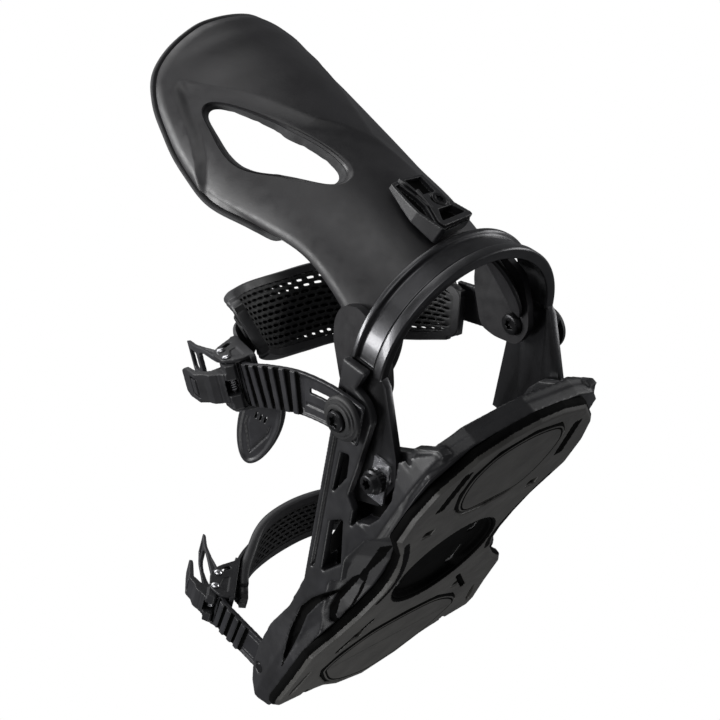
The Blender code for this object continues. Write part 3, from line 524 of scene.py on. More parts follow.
def star_recess(centre, axis, radius, depth_from, depth_to, points=6):
    """A star-shaped driver socket."""
    axis = Vector(axis).normalized()
    side = axis.orthogonal().normalized()
    other = axis.cross(side)
    rings = []
    for along in (depth_from, depth_to):
        ring = []
        for i in range(points * 4):
            t = 2 * pi * i / (points * 4)
            reach = radius * (0.82 + 0.18 * cos(points * t))
            ring.append(Vector(centre) + axis * along + reach * (side * cos(t) + other * sin(t)))
        rings.append(ring)
    return rings


def stand_for(obj, look, *nodes):
    """The piece rides where its first solid does, in that look, and the solids are hidden."""
    obj.data.materials.clear()
    obj.data.materials.append(LOOKS[look])
    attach(obj, NODE_BODY[nodes[0]])
    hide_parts(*nodes)
    return obj


def added(obj, body, look):
    """A piece that stands for no solid, riding on a body."""
    obj.data.materials.append(LOOKS[look])
    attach(obj, body)
    return obj


def darkened(obj, look, test):
    """Gives a second look to the faces whose centre (in millimetres) and normal pass a test. Here that look is
    always the painted shade.
    """
    obj.data.materials.append(LOOKS[look])
    for face in obj.data.polygons:
        if test(face.center / MM, face.normal):
            face.material_index = 1
    return obj


# Highback

SHELL_ROWS = np.array([
    # z, rear y, radius, centre x, left half-angle, right half-angle
    (56, -142.0, 50.3, 0, 80, 78),
    (70, -146.0, 50.5, 0, 79, 75),
    (95, -149.0, 52.0, -0.5, 70, 66),
    (130, -148.5, 56.0, -1.5, 61, 57),
    (160, -145.6, 59.5, -1.5, 65.5, 56),
    (188, -141.6, 64.2, -1.5, 68, 58),
    (204, -138.5, 66.3, -0.5, 64, 58),
    (216, -136.0, 67.4, 0.5, 61, 57),
    (230, -132.5, 68.6, 1.5, 55.5, 56),
    (249, -127.5, 70.5, 3, 47, 51.5),
    (257, -126.0, 71.3, 3.5, 42, 47),
    (264, -124.0, 72.1, 3.5, 34, 41),
    (270, -122.5, 72.9, 3.5, 21, 34),
    (274, -121.5, 73.5, 3.5, 7, 23),
], float)
SHELL_HIGH = 274.0
SHELL_THICKNESS = 3.4
LINER_START = 148.0
CREASE = [
    (-35, 250), (-27.8, 233.6), (-20, 220), (-11.6, 201), (-4.8, 186), (3.5, 178), (13.7, 164.5),
    (18.6, 152), (21.8, 138), (25, 120),
]
PANEL_EDGE = [(-35.6, 251), (-40, 246), (-46.5, 231.5), (-52, 217), (-59, 204), (-72, 190)]
SIDE_CREASE = [(37, 236), (34, 228), (29, 212), (24, 196), (19.5, 181), (15.5, 167), (21.8, 138)]
WINDOW = [
    # degrees round the shell, height
    (-38.5, 228), (-43, 214), (-47.5, 197), (-47, 184), (-38, 168), (-26, 149), (-19, 146.2),
    (-12, 149.5), (-11, 164), (-14, 181), (-20, 199), (-32, 227),
]
SHELL_BOTTOM = [
    # degrees round the shell, height: an arch between the two pivot ears
    (75, 61), (66, 60), (57, 64), (45, 74), (30, 84), (12, 90), (-12, 90), (-30, 84), (-45, 74),
    (-57, 64), (-68, 60), (-80, 61),
]
RIM_POINTS = 440


def eased_row(z):
    """Rear y, radius, centre x and both edge angles at a height, along smooth curves."""
    heights = SHELL_ROWS[:, 0]
    values = SHELL_ROWS[:, 1:]
    slopes = np.gradient(values, heights, axis=0)
    i = int(np.clip(np.searchsorted(heights, z) - 1, 0, len(heights) - 2))
    span = heights[i + 1] - heights[i]
    t = (z - heights[i]) / span
    a, b = (2 * t**3 - 3 * t**2 + 1), (t**3 - 2 * t**2 + t)
    c = t**3 - t**2
    return a * values[i] + b * span * slopes[i] + (1 - a) * values[i + 1] + c * span * slopes[i + 1]


def shell_point(z, turn, radial):
    """A point at an angle round the shell, a radial distance outside its outer face."""
    rear, radius, middle = eased_row(z)[:3]
    reach = radius + radial
    return Vector((middle + reach * sin(turn), rear + radius - reach * cos(turn), z))


def along_curve(points, z):
    """The angle of a crease at a height, from (angle, height) points."""
    points = sorted(points, key=lambda p: p[1])
    return float(np.interp(z, [p[1] for p in points], [p[0] for p in points]))


def shell_relief(z, turn):
    """How far the outer face stands in: the window panel and the side facet, each with a crisp start."""
    arc = eased_row(z)[1] * pi / 180
    from_crease = np.clip((along_curve(CREASE, z) - turn) * arc * 0.86 / 9.0, 0, 1)
    from_edge = np.clip((turn - along_curve(PANEL_EDGE, z)) * arc * 0.8 / 6.0, 0, 1)
    fade = step((z - 128) / 55) * step((251 - z) / 5)
    panel = float((1 - (1 - from_crease) ** 2) * step(from_edge) * fade)
    past = np.clip((turn - along_curve(SIDE_CREASE, z)) * arc / 13.0, 0, 1)
    facet = float((1 - (1 - past) ** 2) * step((z - 120) / 30) * step((240 - z) / 14))
    return -2.3 * panel - 1.7 * facet


def unrolled(turn, z):
    """Distance round the shell and height."""
    return Vector((radians(turn) * eased_row(z)[1], z))


def shell_outline(lowest=None):
    """The shell's edge unrolled, anticlockwise: up the right side, over the top, down the left and back."""
    heights = np.linspace(lowest or SHELL_BOTTOM[0][1], SHELL_HIGH, 90)
    right = [unrolled(eased_row(z)[4], z) for z in heights]
    left = [unrolled(-eased_row(z)[3], z) for z in reversed(heights)]
    bottom = [] if lowest else [unrolled(t, z) for t, z in reversed(SHELL_BOTTOM[1:-1])]
    return even(right + left + bottom, RIM_POINTS, 12)


def window_outline():
    return even([unrolled(p[0], p[1]) for p in loop(WINDOW, 8)], 220, 40)


def rays(middle, outline, rim):
    """Where the line from the middle to each rim point crosses a smaller outline."""
    angles, reaches = [], []
    for place in outline:
        away = Vector(place) - middle
        angles.append(np.arctan2(away.y, away.x))
        reaches.append(away.length)
    order = np.argsort(angles)
    angles, reaches = np.array(angles)[order], np.array(reaches)[order]
    result = []
    for place in rim:
        away = Vector(place) - middle
        reach = np.interp(np.arctan2(away.y, away.x), angles, reaches, period=2 * pi)
        result.append(middle + away.normalized() * float(reach))
    return result


def curved_sheet(name, rim, hole, stations, depth_at):
    """A sheet round the shell with a window in it.

    Each station is (share from window to rim, growth past the rim, shrink of the window, depth), and depth_at
    turns a station's depth into a radial distance at a place.
    """
    middle = sum((Vector(p) for p in hole), Vector((0, 0))) / len(hole)
    inner = rays(middle, hole, rim)
    wider = {}
    rings = []
    for share, growth, shrink, depth in stations:
        if growth not in wider:
            wider[growth] = grown(rim, growth) if growth else rim
        ring = []
        for start, end in zip(inner, wider[growth]):
            away = (start - middle).normalized()
            slope = 0.55 + 0.75 * max(0.0, away.dot(Vector((0.70, -0.71))))
            start = start - away * shrink * slope
            place = start.lerp(Vector(end), share)
            turn = degrees(place.x / eased_row(min(place.y, SHELL_HIGH))[1])
            ring.append(shell_point(place.y, radians(turn), depth_at(depth, place, turn, share)))
        rings.append(ring)
    return loft(name, rings, closed=True)


def highback_shell():
    rim = shell_outline()
    edge = np.array(rim + rim[:1])

    def depth_at(depth, place, turn, share):
        if depth < 0:
            return depth
        roll = max(0.0, 1 - distance_to(edge, place.x, place.y) / 5.0)
        lip = max(0.0, 1 - share * 55)
        return shell_relief(place.y, turn) - 1.3 * roll**2 - 0.5 * lip**2

    shares = [0.5 - 0.5 * cos(pi * k / 64) for k in range(65)]
    stations = [(share, 0.0, 0.0, 0.0) for share in shares]
    stations += [(1.0, 0.35, 0.0, -1.7), (1.0, 0.45, 0.0, -2.4), (1.0, 0.25, 0.0, -3.1)]
    stations += [(share, 0.0, 1.6, -SHELL_THICKNESS) for share in np.linspace(0.99, 0.0, 24)]
    stations += [(0.0, 0.0, 0.9, -1.9)]
    shell = curved_sheet("highback_shell_moulded", rim, window_outline(), stations, depth_at)
    wing = [
        (-92, 55), (-97, 53), (-106, 53), (-116, 60), (-127, 72), (-127, 90), (-119, 98), (-109, 98),
        (-99, 93), (-84.5, 79), (-82.5, 75), (-84.5, 67),
    ]
    for sign, _ in SIDES:
        join(shell, loft("wing", prism(rounded(wing, 4), sideways, sign * 46.5, sign * 50.4)))
        centre = (HIGHBACK_PIVOT.y, HIGHBACK_PIVOT.z)
        cut(shell, prism(circle(3.1, centre), sideways, sign * 40, sign * 54))
        cut(shell, prism(circle(7.2, centre), sideways, sign * 38, sign * 46.5))
    stand_for(smooth(shell, 50), "shell", "highback_shell")


def highback_liner():
    """The padded lining: a rolled bead shows all round the shell, and soft channels cross the inner side."""
    rim = shell_outline(LINER_START)

    def depth_at(depth, place, turn, share):
        free = float(step((place.y - LINER_START - 4) / 8))
        if free <= 0.999:
            depth = min(depth, -3.9) * (1 - free) + depth * free
        if depth >= -7:
            return depth
        wave = cos(2 * pi * (place.y + 0.2 * abs(place.x)) / 14.0)
        return depth + 0.6 * (0.5 + 0.5 * wave) ** 6

    stations = [(share, 0.0, 1.7, -3.8) for share in np.linspace(0, 0.96, 20)]
    bead = [
        (0.2, -3.7), (0.9, -3.2), (1.4, -2.1), (2.1, -1.6), (2.9, -1.8), (3.6, -2.8), (3.9, -4.2),
        (3.7, -5.8), (3.0, -7.3), (1.8, -8.2),
    ]
    stations += [(1.0, growth, 1.7, depth) for growth, depth in bead]
    stations += [(share, 0.0, 4.4, -8.4) for share in np.linspace(0.97, 0.02, 60)]
    stations += [(0.0, 0.0, 4.2, -8.0), (0.0, 0.0, 3.0, -5.8), (0.0, 0.0, 2.0, -4.2)]
    liner = curved_sheet("highback_liner_padded", rim, window_outline(), stations, depth_at)
    stand_for(smooth(liner, 60), "foam", "highback_liner")


def highback_fasteners(sign, side):
    axis = (sign, 0, 0)
    profile = [(43.4, 4.6), (43.8, 5.3), (46.1, 6.2), (46.1, 2.7), (58.6, 2.7)]
    bolt = turned(f"highback_bolt_{side}_finished", profile, HIGHBACK_PIVOT, axis)
    cut(bolt, star_recess(HIGHBACK_PIVOT, axis, 2.8, 42, 45.0))
    stand_for(bevelled(bolt, 0.2), "black_metal", f"highback_bolt_{side}")
    bush = turned(f"highback_bush_{side}_finished", [(50.8, 5.2), (51.1, 5.5), (54.3, 5.5), (54.6, 5.2)],
                  HIGHBACK_PIVOT, axis, bore=3.1)
    stand_for(smooth(bush), "steel", f"highback_bush_{side}")


# Forward-lean adjuster

# The height of the block's outer face at its middle, and how much it falls for each millimetre towards its top
LEAN_FACE = 8.5
LEAN_FALL = 0.19


def lean_matrix():
    return Matrix.Rotation(LEAN_TURN, 4, "Z") @ Matrix.Rotation(pi / 2, 4, "X")


def shell_origin():
    """Where the adjuster sits, on the straight run of the shell between two of its rows."""
    low, high = SHELL_ROWS[2], SHELL_ROWS[3]
    share = (LEAN_HEIGHT - low[0]) / (high[0] - low[0])
    rear, radius, middle = (low + (high - low) * share)[1:4]
    return (middle + radius * sin(LEAN_TURN), rear + radius - radius * cos(LEAN_TURN), LEAN_HEIGHT)


def lean_adjuster():
    """The forward-lean block, a wedge that is thin at its top, with its locking lever and its screw."""
    def face(u, v, w):
        """Depths are measured down from the sloping outer face."""
        return (u - 2.2, v - 0.8, LEAN_FACE - LEAN_FALL * v + w)

    def wedge(name, outline, low, top):
        foot = [(u - 2.2, v - 0.8, low) for u, v in outline]
        return loft(name, [foot, [face(u, v, top) for u, v in outline]])

    block = wedge("lean_block_moulded", [
        (-11.5, -17.5), (10.8, -14.5), (11.8, -12), (7.6, 0), (9.0, 19.5), (-6.8, 20.3), (-5.6, 3),
        (-12.8, -13),
    ], 1.9, 0.0)
    cut(block, prism([(-4.8, 6.5), (5.0, 6.5), (6.8, 17.8), (-5.0, 18.2)], face, -2.6, 4))
    cut(block, prism([(-9.8, -12.6), (8.8, -10.9), (5.4, -4.6), (-4.6, -4.9)], face, -5.0, 4))
    cut(block, prism([(-14, -20), (14, -16.4), (14, -13.6), (-14, -16.2)], face, -3.2, 4))
    cut(block, prism(circle(4.9, (2.2, 0.8)), face, -0.9, 4))
    cut(block, prism(circle(2.6), upright, -1, 16))
    lever = wedge("lean_lever_moulded", [
        (-9.4, 19.2), (-14.6, 18.2), (-17.0, 6), (-18.2, -3), (-15.4, -17.5), (-13.6, -18.6), (-14.4, -13),
        (-8.0, 0), (-7.6, 5),
    ], 1.8, -0.2)
    join(lever, turned("hinge", [(-4.0, 1.1), (8.0, 1.1)], (-9.2, 0, 8.3), (0, 1, 0), 24))
    hollow = [(-10.4, 16.8), (-13.2, 16.4), (-15.4, 5), (-16.4, -3.6), (-14.9, -12.5), (-9.8, -1), (-9.2, 5)]
    cut(lever, prism(hollow, face, -2.8, 4))
    top = LEAN_FACE - 0.1
    head = [(top - 1.2, 4.0), (top - 0.9, 4.2), (top, 4.2), (top + 0.3, 3.9)]
    screw = turned("lean_screw_finished", [(2.2, 2.1), (top - 1.2, 2.1)] + head, (0, 0, 0), (0, 0, 1))
    cut(screw, star_recess((0, 0, 0), (0, 0, 1), 2.6, top - 0.9, 12))
    stand_for(moulded(block, 0.33, 2), "nylon", "lean_block")
    stand_for(moulded(lever, 0.33, 2), "nylon", "lean_lever")
    stand_for(bevelled(screw, 0.15), "black_metal", "lean_screw")
    # Painted shade on the floors of the recesses in the block and the lever.
    for piece in (block, lever):
        darkened(piece, "painted_shade", lambda c, n: n.z > 0.6 and c.z < LEAN_FACE - LEAN_FALL * (c.y + 0.8) - 1.2)
    for piece in (block, lever, screw):
        placed(piece, lean_matrix(), shell_origin())


# Heel hoop

HOOP_SECTION = [
    # outwards, up from the top rim
    (0.4, 0.6), (0.6, -2.6), (-1.9, -3.4), (-1.5, -13.4), (-2.3, -13.7), (-2.3, -14.5), (0.5, -14.9),
    (0.6, -20.2), (-0.4, -20.8), (-5.4, -20.4), (-4.4, -14.0), (-4.4, 0.3),
]


def hoop_point(turn, out, up):
    """A point on the hoop: turn runs round the back from 0 to pi, out is outwards, up across it."""
    width, depth = HOOP_HALF_WIDTH + out, HOOP_DEPTH + out
    behind = depth * sin(turn) - HOOP_DEPTH
    return Vector((width * cos(turn), 0, 0)) + HOOP_APEX + ALONG * behind + ACROSS * up


def heel_hoop():
    """The band round the heel and the flat arms that run forward inside the struts."""
    section = rounded(HOOP_SECTION, 0.9, 3)
    steps = 120
    rings = [[hoop_point(pi * i / steps, out, up) for out, up in section] for i in range(steps + 1)]
    hoop = loft("heel_hoop_anodised", rings)
    start = HOOP_APEX - ALONG * HOOP_DEPTH
    top = [start + ALONG * 3 - ACROSS * 0.4, start - ALONG * 72 - ACROSS * 0.4]
    round_screw = [HOOP_SCREW + Vector((0, y, z)) for y, z in ((14, -7), (-6, -8.5), (-17, -2))]
    low = [start - ALONG * 72 - ACROSS * 18, *round_screw]
    low += [start - ALONG * 2 - ACROSS * 24, start + ALONG * 3 - ACROSS * 18.6]
    outline = [(p.y, p.z) for p in top + low]
    for sign, _ in SIDES:
        join(hoop, loft("arm", prism(outline, sideways, sign * ARM[0], sign * ARM[1])))
        for centre in (HOOP_SCREW, HIGHBACK_PIVOT):
            cut(hoop, prism(circle(3.0, (centre.y, centre.z), 24), sideways, sign * 50, sign * 62))
    stand_for(bevelled(hoop, 0.35, 2, 40), "anodised", "heel_hoop")


def hoop_fasteners(sign, side):
    """The screw with its knurled collar, the serrated plate under it and the nut inside."""
    axis = (sign, 0, 0)
    low = ARM[1] + 0.3
    run, up = Vector((ALONG.y, ALONG.z)), Vector((ACROSS.y, ACROSS.z))
    middle = Vector((HOOP_SCREW.y, HOOP_SCREW.z - 0.5))
    teeth, ridges = 24, 20

    def bar(at, half_long, half_high):
        """An outline that lies along the hoop's arm."""
        corners = ((-1, -1), (1, -1), (1, 1), (-1, 1))
        return [tuple(middle + run * (at + a * half_long) + up * (b * half_high)) for a, b in corners]

    blank = prism(bar(0, 12, 5), sideways, sign * low, sign * (low + 1.5))
    plate = loft(f"serrated_plate_{side}_finished", blank)
    cut(plate, *[
        prism(bar(-11.5 + 23 * i / (teeth - 1), 0.2, 6), sideways, sign * (low + 1.1), sign * (low + 2))
        for i in range(teeth)
    ])
    cut(plate, prism(circle(3.0, (HOOP_SCREW.y, HOOP_SCREW.z)), sideways, sign * 50, sign * 70))
    stand_for(bevelled(plate, 0.12, 1), "steel", f"serrated_plate_{side}")

    base = low + 1.5 + 0.3
    head = [(base, 6.0), (base + 0.4, 6.4), (base + 3.2, 6.4), (base + 3.6, 6.0), (base + 4.0, 4.9),
            (base + 6.4, 4.7), (base + 6.8, 4.4), (base + 7.0, 3.9)]
    screw = turned(f"hoop_screw_{side}_finished", [(48.2, 2.6), (base, 2.6)] + head, HOOP_SCREW, axis, 64)
    centres = circle(6.7, (HOOP_SCREW.y, HOOP_SCREW.z), ridges)
    knurl = [prism(circle(0.55, at, 8), sideways, sign * (base - 1), sign * (base + 3.9)) for at in centres]
    cut(screw, *knurl)
    cut(screw, star_recess(HOOP_SCREW, axis, 3.0, base + 4.2, base + 8))
    stand_for(bevelled(screw, 0.12, 1), "black_metal", f"hoop_screw_{side}")
    nut = turned(f"hoop_nut_{side}_finished", [(44.6, 6.0), (48.2, 6.0)], HOOP_SCREW, axis, 6, bore=3.0)
    stand_for(bevelled(nut, 0.4, 2), "steel", f"hoop_nut_{side}")


# Base

# The direction in which the hollows are cut into the side wall, and the plane their outlines are drawn on
SLANT = Vector((0.58, 0.78, 0.24)).normalized()
SLANT_PLANE = 66.0
SWEEP = [
    (78, 13.5), (64, 17.6), (51, 21), (31.2, 23.4), (19, 20.8), (8, 16.5), (-10.7, 7.7), (4, 12.6),
    (17.4, 16.1), (31.7, 17.9), (43.7, 16.1), (60, 14.6),
]
HOLLOW = [
    (-60, 0.5), (-50.3, 6), (-36.4, 6.1), (-24, 6.8), (-19.2, 8.8), (-4.1, 11.2), (11.8, 10.5),
    (18.7, 6.4), (16, 1.4), (8, 0.9), (-6.4, 0.1), (-19.6, 0.7), (-32, 3.4), (-46, 1.2),
]
TONGUE = [(13.1, 4.6), (1.9, 7.6), (-22, 5.6), (-23, 3), (-3, 1.4), (11.6, 2.2)]


def slanted(sign, u, v, w):
    """A point on the slanting line through (u, v) on the side plane, w further in."""
    point = Vector((-SLANT_PLANE, u, v)) + SLANT * w
    return Vector((point.x if sign < 0 else -point.x, point.y, point.z))


def side_relief(body, sign, outline, depth):
    """A hollow in the side wall, cut along the slanting direction, with a floor parallel to the wall."""
    tree = BVHTree.FromObject(body, bpy.context.evaluated_depsgraph_get())
    run = slanted(sign, 0, 0, 1) - slanted(sign, 0, 0, 0)
    start, deepest = 40, 22
    hits = []
    for u, v in outline:
        distance = tree.ray_cast(slanted(sign, u, v, -start) * MM, run, 70 * MM)[3]
        hits.append(distance / MM - start if distance else None)
    known = [hit for hit in hits if hit is not None and hit < deepest]
    middle = sorted(known)[len(known) // 2]
    hits = [hit if hit is not None and hit < deepest else middle for hit in hits]
    rings = [[slanted(sign, u, v, hit + w) for (u, v), hit in zip(outline, hits)] for w in (-9, depth)]
    mesh_data = bmesh.new()
    skin(mesh_data, rings)
    bmesh.ops.triangulate(mesh_data, faces=mesh_data.faces)
    return combine(body, object_from(mesh_data, "cutter"))


def in_shaded_relief(centre, normal):
    """Whether a face of the side wall lies in one of its hollows, or lines the hoop's channel: the faces that
    get painted shade.
    """
    if 50 < abs(centre.x) < 55 and centre.y > -68 and normal.x * centre.x > 0.6 * abs(centre.x):
        return True
    if centre.z > 30 or abs(centre.x) < 38:
        return False
    share = (SLANT_PLANE - abs(centre.x)) / SLANT.x
    u, v = centre.y - SLANT.y * share, centre.z - SLANT.z * share
    return inside(SWEEP, u, v) or (inside(HOLLOW, u, v) and not inside(TONGUE, u, v))


def chassis():
    """The tray with its side walls and struts."""
    body = copy_of("chassis", "chassis_moulded")
    # The strut's lower rail runs straight down to the foot, below one long window
    rail = [(-53, 36.6), (-48.3, 29.2), (-5.7, 13.4), (0, 18), (5, 24), (-24, 37.2), (-38, 37)]
    window = [(-28.6, 36.4), (-37.6, 30.6), (-14.3, 18.6), (2.6, 25.2)]
    # The strut ends in a round eye behind the ankle strap, below the raised end of its rail
    turns = np.linspace(0, radians(82), 9)
    eye = [(ANKLE_PIVOT.y - 12.6 * cos(t), ANKLE_PIVOT.z - 12.6 * sin(t)) for t in turns]
    behind = [(-130, 61.5), (eye[0][0], 61.5)] + eye + [(-94.5, 38), (-130, 34)]
    # The brackets inside the hoop's arms stay low
    above_bracket = [(-125, 24), (-96, 25), (-86, 34), (-78, 36.5), (-6, 36.5), (-6, 80), (-125, 80)][::-1]
    seam = slot_outline((-108, 9.8), (-60, 9.8), 0.45, 4)
    for sign, _ in SIDES:
        join(body, loft("rail", prism(rail, sideways, sign * 60.2, sign * 64.9)))
        cut(body, prism(window, sideways, sign * 54.6, sign * 76))
        side_relief(body, sign, SWEEP, 4.0)
        side_relief(body, sign, HOLLOW, 2.6)
        cut(body, prism(behind, sideways, sign * 60.0, sign * 76))
        cut(body, prism(above_bracket, sideways, sign * 36, sign * 54.9))
        cut(body, prism(seam, sideways, sign * 52, sign * 75))
    stand_for(moulded(body, 0.75, 2), "nylon", "chassis")
    # Painted shade in the side wall's hollows and along the hoop's channel.
    darkened(body, "painted_shade", in_shaded_relief)


def base_plate():
    """The lower plate with the pockets and grooves of its underside, the same on both sides."""
    plate = copy_of("base_plate", "base_plate_moulded")
    toe_slot, heel_slot = ((46.2, 57), (31.5, 37)), ((27.6, -99.4), (21.5, -104.4))
    long_slots = [((40.5, -72), (37.0, -100)), ((43.2, -72), (39.8, -100))]
    lens = rounded([(67.3, 86.5), (66.5, 80), (61.6, 66.2), (59.9, 66.8), (62.5, 80), (64.9, 86.3)], 1)
    corner = rounded([(54.6, 97.5), (46.0, 95.8), (51.5, 93.0)], 0.6)
    waist = [tuple(p) for p in spline([(52.2, -47.3), (43.6, -29.7), (37.8, -10), (37.6, 4), (41, 13.5)], 4)]
    back = [tuple(p) for p in spline([(42.6, 13), (39.6, 3), (39.9, -10), (45.7, -29), (54.0, -46.5)], 4)]
    groove = [(x - 0.4, y) for x, y in waist] + [(x - 2.2, y) for x, y in back]
    cutters = []
    for sign, _ in SIDES:
        def side(u, v, w, sign=sign):
            return (sign * u, v, w)

        pockets = [(slot_outline(*toe_slot, 1.4), 3.4), (lens, 3.6), (corner, 3.6)]
        pockets += [(slot_outline(*heel_slot, 1.3), 3.2)]
        pockets += [(slot_outline(*ends, 0.8), 2.8) for ends in long_slots]
        cutters += [prism(outline, side, -1, depth) for outline, depth in pockets + [(groove, 2.8)]]
    cut(plate, *cutters)
    crescent = [(-27, -70), (-25, -60), (-16, -52), (0, -49.2), (16, -52), (25, -60), (27, -70),
                (24, -68), (22, -61), (14, -56), (0, -53.4), (-14, -56), (-22, -61), (-24, -68)]
    cut(plate, prism(rounded(crescent, 2), upright, -1, 4.2))
    stand_for(moulded(plate, 0.62, 2), "frame_nylon", "base_plate")

    lines = [np.array(line) for line in (toe_slot, heel_slot, *long_slots)]
    lines.append(np.array([(x - 1.2, y) for x, y in waist]))

    def dark(centre, normal):
        """Faces that get painted shade: recesses, grooves, the upper part of the outer walls and the walls of
        the disc opening.
        """
        if centre.z > 2.6 or (centre.z > 1.4 and normal.z < -0.8) or centre.xy.length < 33.5:
            return True
        return centre.z > 0.3 and min(distance_to(line, abs(centre.x), centre.y) for line in lines) < 1.7

    # Painted shade in the pockets and grooves, on the upper outer walls and round the disc opening.
    darkened(plate, "painted_shade", dark)


TOE_PAD_HALF = [(0, 112), (20, 107), (36, 97), (47, 82), (50, 73), (42, 62), (24, 52), (0, 50)]
HEEL_PAD_HALF = [(0, -54), (18, -55), (28, -64), (33, -80), (32, -96), (22, -109), (0, -114)]


def base_pad(node, half):
    """A foam pad in the underside, with a domed edge and a fine line round it. The edge and the line get
    painted shade.
    """
    outline = loop(anticlockwise(mirrored(half)), 8)
    profile = ((-7.0, 0.0), (-4.2, 0.0), (-3.9, 0.5), (-3.4, 0.5), (-3.1, 0.05), (-2.2, 0.25), (-1.4, 0.8),
               (-0.8, 1.6), (-0.5, 3.3))
    pad = loft(f"{node}_finished", [[(x, y, z) for x, y in grown(outline, out)] for out, z in profile])
    stand_for(smooth(pad, 30), "sole", node)
    # Painted shade on the pad's raised edge and its fine groove.
    darkened(pad, "painted_shade", lambda centre, normal: centre.z > 0.2)


def grip_ribs(xs, ys, place, low, high):
    """Short bars in staggered rows, as skins to cut or join."""
    bars = []
    for k, y in enumerate(ys):
        shift = 3.5 * (k % 2)
        outlines = [slot_outline((x - 3 + shift, y), (x + 3 + shift, y), 0.9, 4) for x in xs]
        bars += [prism(outline, place, low, high) for outline in outlines]
    return bars


def footbeds():
    """The foam under the toes and the heel, with grooves for grip. The heel's edge is scalloped."""
    half = [(0, -46), (26, -45), (44, -42), (44, -86), (41, -100), (31, -109), (0, -113)]
    scallops, points_each = 70, 6
    edge = even(anticlockwise(mirrored(half)), scallops * points_each, 8)
    waves = [0.45 * cos(2 * pi * k / points_each) - 0.5 for k in range(len(edge))]
    wavy = [tuple(Vector(p) + (Vector(g) - Vector(p)) * a) for p, g, a in zip(edge, grown(edge, 1.0), waves)]
    levels = ((grown(edge, -1.7), 13.3), (wavy, 14.2), (wavy, 20.4), (grown(edge, -1.9), 21.5))
    heel = loft("heel_footbed_finished", [[(x, y, z) for x, y in ring] for ring, z in levels])
    cut(heel, *grip_ribs([-28, -14, 0, 14, 28], [-58, -66, -74, -82, -90], upright, 20.6, 23))
    stand_for(moulded(heel, 0.7, 2), "foam", "heel_footbed")

    def rise(x, y, w):
        return (x, y, 16.3 + 8.0 * (y - 44) / 67 + w)

    toe = copy_of("toe_footbed", "toe_footbed_finished")
    cut(toe, *grip_ribs([-42, -28, -14, 0, 14, 28, 40], [54, 62, 70, 78, 86, 94], rise, -0.9, 3))
    stand_for(moulded(toe, 0.7, 2), "foam", "toe_footbed")


def mounting_disc():
    """The disc, set deep in its opening, with serrations round its rim. Its downward and side faces get painted
    shade.
    """
    disc = copy_of("mounting_disc", "mounting_disc_moulded")
    notches = []
    for i in range(48):
        turn = 2 * pi * i / 48
        out, side = Vector((cos(turn), sin(turn))), Vector((-sin(turn), cos(turn)))
        corners = [tuple(out * r + side * s) for r, s in ((32.6, -0.5), (37.5, -0.6), (37.5, 0.6), (32.6, 0.5))]
        notches.append(prism(corners, upright, 9.7, 12))
    cut(disc, *notches)
    cut(disc, prism(circle(31.0, count=96), upright, -1, 6.0))
    stand_for(moulded(disc, 0.7, 2), "strap_core", "mounting_disc")
    # Painted shade on every face that does not look up, as if deep in the opening.
    darkened(disc, "painted_shade", lambda centre, normal: normal.z < 0.3)


# Straps

class Path:
    """A strap's centre line with its width direction, sampled finely."""

    def __init__(self, centres, widths, halves=None, steps=24):
        self.curve = spline(centres, steps)
        self.across = spline(widths, steps)
        self.halves = spline([(h, 0, 0) for h in halves], steps) if halves else None
        self.last = len(self.curve) - 1
        lengths = [(b - a).length for a, b in zip(self.curve, self.curve[1:])]
        self.length = sum(lengths)
        self.marks = np.concatenate([[0.0], np.cumsum(lengths)])

    def frame(self, share):
        """Centre, run, width and outward direction at a share of the parameter."""
        at = min(max(share, 0.0), 1.0) * self.last
        i = min(int(at), self.last - 1)
        t = at - i
        centre = self.curve[i].lerp(self.curve[i + 1], t)
        ahead, back = self.curve[min(i + 2, self.last)], self.curve[max(i - 1, 0)]
        run = (ahead - back).normalized()
        wide = self.across[i].lerp(self.across[i + 1], t)
        wide = (wide - run * wide.dot(run)).normalized()
        return centre, run, wide, wide.cross(run)

    def half(self, share):
        at = min(max(share, 0.0), 1.0) * self.last
        i = min(int(at), self.last - 1)
        return self.halves[i].lerp(self.halves[i + 1], at - i).x

    def share_at(self, distance):
        return float(np.interp(distance, self.marks, np.linspace(0, 1, len(self.marks))))

    def point(self, share, side, out):
        centre, _, wide, outward = self.frame(share)
        return centre + wide * side + outward * out


def strap_rings(path, section, count):
    """Rings along the whole path for a section of (side, out) points, or a function of the share."""
    rings = []
    for i in range(count + 1):
        share = i / count
        points = section(share) if callable(section) else section
        rings.append([path.point(share, a, b) for a, b in points])
    return rings


def strip(path, start, end, low, high, bottom, top, steps=14):
    """A bar along the path between two shares, with square ends."""
    section = [(low, bottom), (high, bottom), (high, top), (low, top)]
    shares = [start + (end - start) * i / steps for i in range(steps + 1)]
    return [[path.point(share, a, b) for a, b in section] for share in shares]


def crossbar(path, share, low, high, bottom, top, along):
    """A bar across the path, along millimetres thick at its foot and narrower at its top."""
    centre, run, wide, outward = path.frame(share)
    rings = []
    for side in (low, high):
        middle = centre + wide * side
        rings.append([middle + run * a + outward * b for a, b in (
            (-along[0], bottom), (along[0], bottom), (along[1], top), (-along[1], top))])
    return rings


def out_sign(path):
    """+1 if the path's outward direction leaves the boot, else -1."""
    return -1 if path.frame(0.5)[3].x > 0 else 1


